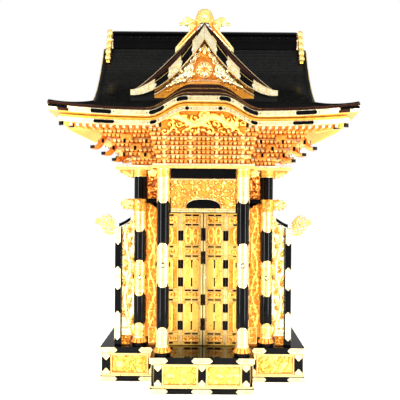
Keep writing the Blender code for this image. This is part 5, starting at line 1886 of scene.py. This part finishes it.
def build_porch_carving():
    """Clouds and a winding form under the curved eave; the low ground between them takes painted shade,
    dark orange.
    """
    section = Section("porch_carving")
    low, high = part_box("porch_carving")
    plane = front(high.y)
    depth = high.y - low.y

    def crown(u):
        return EAVE_LOW + edge_rise(u, np.full_like(u, -0.42)) - 0.0006

    def foot(u):
        return 1.001 + 0.006 * np.cos(u * 110)
    half = high.x - 0.0005

    def wave(x):
        return 1.048 + 0.016 * math.sin(x * 46.0)
    winding = [(x, wave(x)) for x in np.linspace(-0.120, 0.125, 34)]
    forms = [clouds(-half, half, 0.995, 1.09, 0.034, 91), strand(winding, 0.0105),
             strand(winding[6:26], 0.0135)]
    for k, x in enumerate(np.linspace(-0.105, 0.105, 8)):
        forms.append(leaf(x, wave(x), 0.028, 0.007, (0.9 + k * 1.7) % 6.28))
    forms.append(curl(0.0, 1.064, 0.019, 1.4, 0.5, 1, 0.30))
    forms.append(puff(0.012, 1.060, 0.012))
    relief(section.of("gold"), plane, -half, half, foot, crown, carving(forms), 0.0015, depth - 0.0018,
           0.00234, 0.0, (0.12, 1.0))
    section.done("porch_carving")


# Beams, transom, walls and wings

HEAD_THICK = 0.0196


def cloud_end(section, plane, u, v, length, height, sense, wing=False):
    """A carved beam end in the round: a leafy scroll head, or a wing-like nosing that tapers outwards."""
    gold = section.of("gold")
    if wing:
        body = ((0.0, 0.0), (0.10, 0.0), (0.24, 0.16), (0.36, 0.12), (0.50, 0.36), (0.62, 0.34),
                (0.76, 0.60), (0.90, 0.62), (1.0, 0.90), (0.98, 1.0), (0.0, 1.0))
        curls = ((0.17, 0.34, 0.22), (0.42, 0.52, 0.20), (0.68, 0.74, 0.17), (0.14, 0.76, 0.17))
        blades = ((0.05, 0.15, 0.60, 0.75), (0.20, 0.30, 0.60, 0.60), (0.42, 0.40, 0.52, 0.50),
                  (0.30, 0.62, 0.60, 0.30))
    else:
        body = ((0.0, 0.12), (0.16, 0.06), (0.30, 0.16), (0.44, 0.06), (0.58, 0.16), (0.72, 0.12),
                (0.84, 0.30), (0.97, 0.42), (1.0, 0.60), (0.90, 0.78), (0.76, 0.82), (0.66, 0.97),
                (0.48, 0.90), (0.30, 1.0), (0.14, 0.92), (0.0, 0.96))
        curls = ((0.78, 0.56, 0.24), (0.46, 0.66, 0.24), (0.50, 0.26, 0.17), (0.16, 0.60, 0.22),
                 (0.20, 0.24, 0.15))
        blades = ((0.04, 0.46, 0.60, 0.55), (0.10, 0.34, 0.55, -0.10), (0.30, 0.44, 0.50, 0.20),
                  (0.62, 0.40, 0.34, -0.30), (0.34, 0.80, 0.40, 0.25))
    outline = [(u + sense * a * length, v + b * height) for a, b in body]
    # The body takes a dark tint: painted shade between the scrolls and leaves that stand on it.
    slab(gold, plane, outline, -HEAD_THICK + 0.0040, -0.0040, 0.0022, 0.16)
    rear = Plane(plane.origin - plane.out * HEAD_THICK, -plane.right, plane.up)
    for face, mirror in ((plane, 1), (rear, -1)):
        for a, b, r in curls:
            centre = mirror * (u + sense * a * length)
            way = sense * mirror
            scroll(gold, face, centre, v + b * height, r * height, 1.5, facing(way, 0.4), way,
                   r * height * 0.20, -0.0036)
            dome(gold, face, centre, v + b * height, r * height * 0.30, 0.0022, -0.0036, 1.0, 10)
        for a, b, reach, angle in blades:
            way = sense * mirror
            raised_leaf(gold, face, mirror * (u + sense * a * length), v + b * height, reach * height,
                        reach * height * 0.20, facing(way, angle), 0.0030, -0.0044, (0.35, 1.0))


def build_beam_ends():
    ends = (("porch_beam_head", PORCH, 0.832, 0.034, 0.034, 1.12),
            ("top_cloud_head", OUTER, 0.834, 0.058, 0.033, 1.12),
            ("tie_beam_head", OUTER, 0.700, 0.0530, 0.050, 1.125))
    for side, word in SIDES:
        for name, (x, y), z, length, height, swell in ends:
            node = "%s_%s" % (name, word)
            section = Section(node)
            cloud_end(section, front(y - HEAD_THICK / 2), side * (x + PILLAR_R * swell + 0.0006), z,
                      length, height, side, name == "top_cloud_head")
            section.done(node)
        node = "front_beam_head_" + word
        section = Section(node)
        plane = Plane((side * OUTER[0] - HEAD_THICK / 2, 0, 0), (0, -1, 0))
        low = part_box(node)[0]
        cloud_end(section, plane, -(OUTER[1] - PILLAR_R * 1.125 - 0.0006), 0.700, 0.0500, 0.050, 1)
        face = front(low.y + 0.0075)
        slab(section.of("gold"), face, oval(side * OUTER[0], 0.7250, 0.0086, 0.0215, 20), -0.020, -0.001,
             0.0050, 0.42)
        for sense in (-1, 1):
            scroll(section.of("plate"), face, side * OUTER[0] + sense * 0.0046, 0.7350, 0.0042, 1.3,
                   math.pi / 2, sense, 0.0012, -0.0012)
            raised_leaf(section.of("gold"), face, side * OUTER[0], 0.7270, 0.0130, 0.0030,
                        math.pi / 2 + sense * 1.0, 0.0030, -0.0020)
        dome(section.of("plate"), face, side * OUTER[0], 0.7150, 0.0066, 0.0062, -0.0020, 0.95, 16)
        section.done(node)


ARCH_HALF = 0.066
ARCH_FOOT = 0.7145


def build_transom():
    section = Section("porch_transom")
    gold = section.of("gold")
    low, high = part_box("porch_transom")
    plane = front(low.y)
    rear = back(high.y)
    half = high.x - 0.0003
    thick = high.y - low.y
    slab(gold, plane, rect(-half, half, low.z + 0.0003, high.z - 0.0003), -thick, -0.0060, 0.0005, 0.35)
    field = foliage(-half, half, 0.712, high.z, 0.0330, 101, 0.25, 0.26)

    def arch(u):
        return ARCH_FOOT + 0.0330 * np.sqrt(np.clip(1 - (np.abs(u) / 0.068) ** 2.6, 0, 1)) + 0.001

    def foot(u):
        return np.where(np.abs(u) < 0.067, arch(u) + 0.004, 0.7155)
    relief(section.of("shaded"), plane, -half, half, foot, high.z - 0.0060, field, -0.0070, 0.0068,
           0.00195, -0.012, (0.05, 0.65, 1.1), 0.34)
    places = np.linspace(-ARCH_HALF, ARCH_HALF, 41)
    strip(section.of("black"), plane, places, ARCH_FOOT - 0.0005, arch(places), -0.008, -0.0040, 0.0006)
    strip(section.of("plate"), plane, places, arch(places) + 0.0004, arch(places) + 0.0042, -0.008, 0.0,
          0.0008, 0.95)
    for v0, v1, top in ((low.z + 0.0004, 0.7055, -0.0004), (0.7065, 0.7135, -0.0020),
                        (high.z - 0.0062, high.z - 0.0004, -0.0003)):
        slab(section.of("plate"), plane, rect(-half, half, v0, v1), -0.008, top, 0.0012, 0.80)
    field = foliage(-half, half, low.z, high.z, 0.040, 102)
    relief(gold, rear, -half, half, low.z + 0.004, high.z - 0.004, field,
           -0.0042, 0.0040, 0.0039, -0.006, (0.2, 0.85))
    section.done("porch_transom")


def build_frieze():
    section = Section("front_frieze")
    low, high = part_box("front_frieze")
    plane = front(low.y)
    half = high.x - 0.003
    thick = high.y - low.y
    gold = section.of("gold")
    slab(gold, plane, rect(-half, half, low.z + 0.0003, high.z - 0.001), -thick, -0.0062, 0.0004, 0.3)
    field = foliage(-half, half, low.z, high.z, 0.029, 111, 0.25, 0.28)
    relief(section.of("shaded"), plane, -half, half, low.z + 0.001, high.z - 0.002, field,
           -0.0050, 0.0048, 0.00286, -0.0080, (0.10, 0.95))
    section.done("front_frieze")


def build_jambs():
    """Tall carved panels beside the doors, with a cusped top edge."""
    for side, word in SIDES:
        node = "jamb_panel_" + word
        low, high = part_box(node)
        section = Section(node)
        gold = section.of("gold")
        plane = front(low.y)
        u0, u1 = low.x + 0.0004, high.x - 0.0004
        inner, outer = (u0, u1) if side > 0 else (u1, u0)
        cusp = [(0.0, 0.708), (0.30, 0.713), (0.42, 0.7235), (0.62, 0.7225), (0.72, 0.7312), (1.0, 0.7312)]

        def crown(u):
            part = np.abs(u - inner) / abs(outer - inner)
            return np.interp(part, [a for a, b in cusp], [b for a, b in cusp]) - 0.0004
        slab(section.of("shaded"), plane,
             [(inner, low.z + 0.0002), (outer - side * 0.0110, low.z + 0.0002),
              (outer - side * 0.0110, FOOT_TOP), (outer, FOOT_TOP), (outer, 0.7308),
              (outer - side * 0.012, 0.7308), (outer - side * 0.018, 0.7220),
              (outer - side * 0.029, 0.7235), (outer - side * 0.036, 0.7125), (inner, 0.7075)],
             -(high.y - low.y), -0.0058, 0.0004, 0.25)
        a, b = sorted((inner + side * 0.0070, outer - side * 0.0012))
        forms = [foliage(a, b, 0.222, 0.730, 0.0250, 121, 0.25, 0.28)]
        for phase, width, radius in ((0.0, 0.012, 0.0044), (2.1, 0.014, 0.0032)):
            stem = [(inner + side * (0.027 + width * math.sin(z * 30.0 + phase)), z)
                    for z in np.linspace(0.222, 0.722, 90)]
            forms.append(strand(stem, radius, 0.75))
        relief(gold, plane, a, b, 0.222, crown, carving(forms), -0.0076, 0.0074, 0.00195, -0.0090,
               (0.30, 0.62, 0.95), 0.50)
        lower = foliage(a, b, 0.146, 0.218, 0.018, 122, 0.3, 0.26)
        foot_a, foot_b = sorted((inner + side * 0.0070, outer - side * 0.0125))
        panel(section, plane, foot_a, foot_b, 0.150, 0.218, -0.0066, 0.0050, lower, 0.0030, 0.0008,
              0.00208, (0.3, 1.0))
        post = sorted((inner, inner + side * 0.0062))
        slab(gold, plane, rect(post[0], post[1], low.z + 0.0004, 0.7060), -0.0070, -0.0002, 0.0014, 0.95)
        for z in (0.250, 0.350, 0.450, 0.550, 0.640):
            slab(section.of("black"), plane, rect(post[0] + 0.0008, post[1] - 0.0008, z, z + 0.026),
                 -0.0010, 0.0002, 0.0003)
        rear = back(high.y)
        ring_band(gold, rear, rect(min(-u0, -u1) + 0.006, max(-u0, -u1) - 0.012, 0.22, 0.69), 0.003,
                  -0.001, 0.0, 0.0006, 0.8)
        section.done(node)


WALL_FRONT = OUTER[1] + PILLAR_R + 0.0006
WALL_REAR = REAR[1] - PILLAR_R - 0.0006
MID_RAIL = (0.402, 0.428)
TOP_RAIL = (0.702, 0.728)


def notched_board(ends, low, high):
    """Outline of a board between two pillars, cut back at the bottom to clear their feet."""
    a, b = ends
    notch = 0.0110
    foot = FOOT_TOP
    return [(a + notch, low), (b - notch, low), (b - notch, foot), (b, foot), (b, high), (a, high),
            (a, foot), (a + notch, foot)]


def build_side_walls():
    for side, word in SIDES:
        node = "side_wall_" + word
        low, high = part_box(node)
        section = Section(node)
        gold = section.of("gold")
        outer_x = high.x if side > 0 else -low.x
        plane = flank(side, outer_x)
        ends = sorted((side * (WALL_FRONT + 0.012), side * (WALL_REAR - 0.012)))
        notched = notched_board(sorted((side * WALL_FRONT, side * WALL_REAR)), low.z + 0.0004,
                                high.z - 0.0004)
        slab(gold, plane, notched, -0.0138, -0.0064, 0.0004, 0.6)
        cuts = (low.z + 0.0004, low.z + 0.028, *MID_RAIL, *TOP_RAIL, high.z - 0.0004)
        for k in (0, 2, 4):
            slab(gold, plane, rect(ends[0], ends[1], cuts[k], cuts[k + 1]), -0.006, -0.0003, 0.0010, 0.85)
        for a, b in ((ends[0], ends[0] + 0.018), (ends[1] - 0.018, ends[1])):
            slab(section.of("black"), plane, rect(a, b, cuts[1], cuts[6]), -0.006, -0.0006, 0.0010)
        for k, seed in ((1, 131), (3, 132), (5, 133)):
            v1 = cuts[k + 1] if k < 5 else high.z - 0.004
            field = foliage(ends[0], ends[1], cuts[k], v1, 0.042 if k < 5 else 0.034, seed, 0.3)
            panel(section, plane, ends[0] + 0.022, ends[1] - 0.022, cuts[k] + 0.003, v1 - 0.003, -0.0050,
                  0.0034, field, 0.006, 0.0008, 0.0039)
        section.done(node)


def build_back_wall():
    section = Section("back_wall")
    low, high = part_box("back_wall")
    plane = back(high.y)
    gold = section.of("gold")
    half = high.x - 0.0125
    notched = notched_board((-half - 0.0120, half + 0.0120), low.z + 0.0004, high.z - 0.0004)
    slab(section.of("black"), plane, notched, -0.0138, -0.0036, 0.0004)
    uprights = (-half, -0.079, 0.079, half)
    for u in uprights[1:3]:
        slab(section.of("black"), plane, rect(u - 0.011, u + 0.011, low.z + 0.001, high.z - 0.001),
             -0.0040, -0.0004, 0.0010)
    for a, b in zip(uprights, uprights[1:]):
        start, end = a + (0.006 if a == -half else 0.014), b - (0.006 if b == half else 0.014)
        for v0, v1 in ((0.168, MID_RAIL[0]), (MID_RAIL[1], TOP_RAIL[0])):
            ring_band(gold, plane, rect(start, end, v0, v1), 0.006, -0.004, -0.0008, 0.0010, 0.9)
            middle = ((start + end) / 2, (v0 + v1) / 2)
            rosette(section.of("plate"), plane, middle[0], middle[1], 0.020, 8, 0.0028, -0.0034)
            for sense in (-1, 1):
                for lift in (-1, 1):
                    u, v = middle[0] + sense * 0.030, middle[1] + lift * 0.026
                    scroll(gold, plane, u, v, 0.014, 1.4, 0.0, sense * lift, 0.0022, -0.0036)
        field = foliage(start, end, 0.73, 0.86, 0.034, 134, 0.3)
        panel(section, plane, start, end, 0.730, high.z - 0.006, -0.0040, 0.0030, field, 0.005, 0.0006,
              0.0039)
    for v in (low.z + 0.0004, 0.404, 0.706):
        slab(gold, plane, rect(-half, half, v, v + 0.020), -0.0040, -0.0002, 0.0014, 0.85)
    section.done("back_wall")


WING_START = 0.2884
WING_FOOT = 0.2985
WING_OUTER = 0.3402
WING_END = 0.3646


def wing_rail(u):
    """Centre line of the rail, by the distance from the middle."""
    start, end = 0.2881, 0.365
    t = np.clip((np.asarray(u, float) - start) / (end - start), 0, 1)
    return 0.672 - 0.035 * np.sin(t * math.pi / 2) ** 1.3


def build_wing_panel(side, word):
    """A carved panel beside the outer pillar: a winding stem with curls over rocks."""
    section = Section("wing_panel_" + word)
    low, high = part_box("wing_panel_" + word)
    plane = front(low.y)
    gold = section.of("gold")
    u0, u1 = sorted((side * WING_START, side * WING_OUTER))

    def crown(u):
        return wing_rail(np.abs(u)) - 0.0082
    outline = [(WING_FOOT, low.z + 0.0003), (WING_OUTER, low.z + 0.0003)]
    outline += [(u, float(crown(u)) - 0.0006) for u in np.linspace(WING_OUTER, WING_START, 8)]
    outline += [(WING_START, FOOT_TOP), (WING_FOOT, FOOT_TOP)]
    slab(section.of("plate"), plane, [(side * a, b) for a, b in outline], -(high.y - low.y), -0.0084,
         0.0004, 0.90)
    random = np.random.RandomState(141)

    def stem(z):
        return side * (0.314 + 0.011 * math.sin(z * 24.0))
    trunk = [(stem(z), z) for z in np.linspace(0.190, 0.640, 70)]
    forms = [strand(trunk, 0.0070, 0.8)]
    for k in range(13):
        z = 0.235 + 0.032 * k
        sense = side * (1 if k % 2 else -1)
        u = stem(z) + sense * 0.013
        forms.append(curl(u, z, 0.0115, 1.2, random.uniform(0, 6.28), int(sense), 0.26))
        forms.append(leaf(u, z + 0.014, 0.026, 0.0062, math.pi / 2 - sense * 0.5))
    for k in range(10):
        forms.append(puff(side * (0.297 + 0.0048 * k), 0.186 + 0.010 * (k % 3),
                          random.uniform(0.008, 0.012), 0.8))
    relief(section.of("plate"), plane, u0, u1, FLOOR + 0.037, crown, carving(forms), -0.0076, 0.0074,
           0.00195, -0.0090, (1.0, 1.0), 0.80)
    foot_a, foot_b = sorted((side * 0.2990, side * (WING_OUTER - 0.0004)))
    relief(gold, plane, foot_a, foot_b, low.z + 0.0006, FLOOR + 0.0365,
           foliage(foot_a, foot_b, 0.142, 0.180, 0.014, 142, 0.2, 0.3), -0.0072, 0.0066, 0.00208, -0.0090,
           (0.10, 0.85))
    a, b = sorted((side * 0.3368, side * WING_OUTER))
    slab(section.of("black"), plane, rect(a, b, low.z + 0.0004, float(crown(WING_OUTER)) - 0.001), -0.002,
         0.0004, 0.0004)
    rear = back(high.y)
    a, b = sorted((-side * 0.3005, -side * 0.336))
    ring_band(gold, rear, rect(a, b, 0.21, 0.60), 0.003, -0.001, 0.0, 0.0006, 0.8)
    section.done("wing_panel_" + word)


def build_wing_post(side, word):
    """The slender post at the wing's end, with lobed fittings."""
    section = Section("wing_post_" + word)
    low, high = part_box("wing_post_" + word)
    box(section.of("black"), (low.x, high.x), (low.y, high.y), (low.z, high.z), 0.0006)
    fittings = ((0.558, high.z - 0.0004), (0.371, 0.469), (0.163, 0.284))
    middle = (low.x + high.x) / 2
    for plane in (front(low.y), back(high.y)):
        upright = plane.turned()
        u = middle if plane.right[0] > 0 else -middle
        half = (high.x - low.x) / 2
        for v0, v1 in fittings:
            ends = (True, v1 < fittings[0][0])
            outline = lobed_outline(v0, v1, -u - half + 0.0003, -u + half - 0.0003, ends)
            slab(section.of("plate"), upright, outline, -0.0010, 0.0012, 0.0005, 0.95)
            count = int((v1 - v0) / 0.030)
            for k in range(count):
                dome(section.of("plate"), upright, v0 + (v1 - v0) * (k + 0.5) / count, -u, 0.0040, 0.0014,
                     0.0010, 1.0, 10)
    outer_plane = flank(side, abs(high.x if side > 0 else low.x))
    upright = outer_plane.turned()
    centre = side * (low.y + high.y) / 2
    for v0, v1 in fittings:
        slab(section.of("plate"), upright, rect(v0, v1, -centre - 0.0092, -centre + 0.0092), -0.0010,
             0.0011, 0.0005, 0.9)
    section.done("wing_post_" + word)


def build_wing_rail(side, word):
    """The rail that sweeps down from the pillar to the post."""
    section = Section("wing_rail_" + word)
    plane = front(OUTER[1] - 0.0078)
    us = np.linspace(WING_START, WING_END, 14)
    centre_line = wing_rail(us)
    strip(section.of("black"), plane, side * us, centre_line - 0.0068, centre_line + 0.0068, -0.0156, 0.0,
          0.0012)
    for a, b in ((WING_START, 0.3010), (0.3500, WING_END)):
        spots = np.linspace(a, b, 5)
        line = wing_rail(spots)
        strip(section.of("plate"), plane, side * spots, line - 0.0074, line + 0.0074, -0.0162, 0.0008,
              0.0006, 0.95)
    section.done("wing_rail_" + word)


FEATHERS = (((0.000, 0.640), (0.016, 0.652), (0.036, 0.668), (0.058, 0.676)),
            ((0.000, 0.634), (0.018, 0.646), (0.042, 0.658), (0.068, 0.667)),
            ((0.000, 0.628), (0.020, 0.638), (0.046, 0.648), (0.074, 0.655)),
            ((0.000, 0.622), (0.022, 0.630), (0.046, 0.637), (0.070, 0.642)),
            ((0.004, 0.614), (0.022, 0.618), (0.040, 0.622), (0.058, 0.628)),
            ((0.002, 0.606), (0.018, 0.603), (0.034, 0.606), (0.046, 0.613)),
            ((0.000, 0.648), (0.012, 0.660), (0.024, 0.673), (0.040, 0.683)),
            ((0.066, 0.667), (0.074, 0.660), (0.077, 0.651), (0.072, 0.644)))


def build_beast(side, word):
    """Openwork ornament at the wing's shoulder: swept feathers and scrolls, with light between them."""
    node = "wing_beast_" + word
    low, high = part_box(node)
    section = Section(node)
    gold = section.of("gold")
    near = 0.3660
    middle = front((low.y + high.y) / 2)
    for k, line in enumerate(FEATHERS):
        us = np.array([near + u for u, v in line])
        vs = np.array([v for u, v in line])
        t = np.linspace(0, len(line) - 1, 13)
        u, v = np.interp(t, range(len(line)), us), np.interp(t, range(len(line)), vs)
        depth = 0.0035 * math.sin(k * 1.9)
        tube(gold, middle.at(side * u, v, np.full(13, depth)), 0.0021, 7, 0.62)
        for j in range(2, 12, 2):
            for way in (-1, 1):
                angle = math.atan2(v[j] - v[j - 1], u[j] - u[j - 1]) + way * 0.75
                raised_leaf(gold, front((low.y + high.y) / 2 + 0.001), side * u[j], v[j], 0.0085, 0.0019,
                            facing(side, angle), 0.0020, depth, (0.05, 0.95))
    for face, plane in ((1, front(low.y)), (-1, back(high.y))):
        sense = side * face
        for u, v, r in ((0.012, 0.628, 0.010), (0.046, 0.651, 0.0095), (0.030, 0.612, 0.0080),
                        (0.026, 0.664, 0.0085)):
            scroll(gold, plane, sense * (near + u), v, r, 1.4, 2.4 if sense < 0 else 0.7, sense, r * 0.20,
                   -0.0060, 0.95)
    section.done(node)


def build_wings():
    for side, word in SIDES:
        build_wing_panel(side, word)
        build_wing_post(side, word)
        build_wing_rail(side, word)
        build_beast(side, word)


def build_ledge():
    section = Section("ledge")
    low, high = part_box("ledge")
    half, porch_half, fore, rear, porch_fore = 0.360, 0.200, -0.215, 0.262, -0.366
    outline = [(-porch_half, porch_fore), (porch_half, porch_fore), (porch_half, fore), (half, fore),
               (half, rear), (-half, rear), (-half, fore), (-porch_half, fore)]
    slab(section.of("gold"), LEVEL, outline, low.z, high.z - 0.0090, 0.0012, 0.75)
    slab(section.of("plate"), LEVEL, inset(outline, 0.0022), high.z - 0.0095, high.z - 0.0002, 0.0012, 0.95)
    section.done("ledge")


# Floor, light and camera

def build_stage():
    material, tree, shader = new_material("pale_floor", (0.86, 0.86, 0.85), 0.55, 0.0)
    speckle = noise(tree, 6.0, 2.0)
    tones = ramp(tree, ((0.30, (0.84, 0.84, 0.83)), (0.70, (0.88, 0.88, 0.87))))
    tree.links.new(speckle.outputs["Fac"], tones.inputs["Fac"])
    tree.links.new(tones.outputs["Color"], shader.inputs["Base Color"])
    shader.inputs["Emission Color"].default_value = (1.0, 1.0, 1.0, 1.0)
    shader.inputs["Emission Strength"].default_value = 0.72
    wide = 14.0
    floor = bpy.data.meshes.new("studio_floor")
    floor.from_pydata([(-wide, -wide, 0), (wide, -wide, 0), (wide, wide, 0), (-wide, wide, 0)], [],
                      [(0, 1, 2, 3)])
    floor.materials.append(material)
    made = bpy.data.objects.new("studio_floor", floor)
    bpy.context.scene.collection.objects.link(made)


def softbox(name, place, aim, size, power):
    light = bpy.data.lights.new(name, "AREA")
    light.shape = "RECTANGLE"
    light.size, light.size_y = size
    light.energy = power
    made = bpy.data.objects.new(name, light)
    made.location = place
    toward = Vector(aim) - Vector(place)
    made.rotation_euler = toward.to_track_quat("-Z", "Y").to_euler()
    made.visible_camera = False
    bpy.context.scene.collection.objects.link(made)


def build_light():
    """A white studio: the backdrop is brighter to the eye than the light it throws on the shrine."""
    world = bpy.data.worlds.new("studio")
    world.use_nodes = True
    tree = world.node_tree
    place = tree.nodes.new("ShaderNodeTexCoord")
    split = tree.nodes.new("ShaderNodeSeparateXYZ")
    tree.links.new(place.outputs["Generated"], split.inputs["Vector"])
    depth = tree.nodes.new("ShaderNodeMapRange")
    depth.inputs["From Min"].default_value = -1.0
    tree.links.new(split.outputs["Y"], depth.inputs["Value"])
    sky = ramp(tree, ((0.02, (0.60, 0.60, 0.60)), (0.22, (0.50, 0.50, 0.50)), (0.50, (0.28, 0.28, 0.28)),
                      (0.85, (0.42, 0.42, 0.42))))
    tree.links.new(depth.outputs["Result"], sky.inputs["Fac"])
    seen = tree.nodes.new("ShaderNodeLightPath")
    mixed = tree.nodes.new("ShaderNodeMix")
    mixed.data_type = "RGBA"
    tree.links.new(seen.outputs["Is Camera Ray"], mixed.inputs["Factor"])
    tree.links.new(sky.outputs["Color"], mixed.inputs["A"])
    mixed.inputs["B"].default_value = (1.0, 1.0, 1.0, 1.0)
    tree.links.new(mixed.outputs["Result"], tree.nodes["Background"].inputs["Color"])
    bpy.context.scene.world = world
    middle = (0.0, 0.0, 0.75)
    softbox("key_left", (-1.80, -2.9, 1.3), middle, (0.8, 2.2), 9.0)
    softbox("key_right", (1.80, -2.9, 1.2), middle, (0.8, 2.2), 9.0)
    softbox("strip_left", (-1.06, -1.28, 0.81), (-0.155, -0.34, 0.81), (0.20, 1.56), 27.0)
    softbox("strip_right", (1.06, -1.28, 0.81), (0.155, -0.34, 0.81), (0.20, 1.56), 27.0)
    softbox("overhead", (0.0, -0.9, 3.2), middle, (2.6, 2.6), 12.0)
    softbox("side_left", (-3.2, -0.4, 1.4), middle, (1.2, 2.2), 16.0)
    softbox("side_right", (3.2, -0.4, 1.4), middle, (1.2, 2.2), 16.0)
    softbox("rear", (0.0, 3.2, 2.4), middle, (2.4, 1.6), 34.0)


def build_camera():
    """Level camera at half the shrine's height; the photograph leans by under half a degree."""
    camera = bpy.data.cameras.new("camera")
    camera.lens = 58.5
    camera.sensor_width = 36.0
    camera.shift_x = -0.0205
    camera.shift_y = -0.01175
    made = bpy.data.objects.new("camera", camera)
    made.location = (0.019, -2.87, 0.765)
    made.rotation_euler = (math.radians(90.0), math.radians(-0.42), 0.0)
    bpy.context.scene.collection.objects.link(made)
    bpy.context.scene.camera = made
    bpy.context.scene.view_settings.view_transform = "Standard"


def kept_nodes(names, material):
    """Frame nodes whose shape is right keep it and get the finish."""
    for name in names:
        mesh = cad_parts[name].data
        mesh.materials.clear()
        mesh.materials.append(material)


def main():
    build_plinth()
    build_step()
    build_pillars()
    build_doors()
    build_lock()
    build_tiers()
    build_tail_rafters()
    build_lower_eave()
    build_upper_eave()
    build_hip_rafters()
    build_main_roof()
    build_roof_edge()
    build_hip_ridges()
    build_side_gables()
    build_main_ridge()
    build_ridge_ends()
    build_gable_roof()
    build_gable_edge()
    build_gable_boards()
    build_gable_wall()
    build_gable_ornament()
    build_porch_carving()
    build_beam_ends()
    build_transom()
    build_frieze()
    build_jambs()
    build_side_walls()
    build_back_wall()
    build_wings()
    build_ledge()
    build_stage()
    build_light()
    build_camera()
    kept_nodes(("base_top_board", "step_top_board", "door_head", "porch_beam"), BLACK)
    kept_nodes(("ceiling_board",), SMOOTH_GOLD)


main()
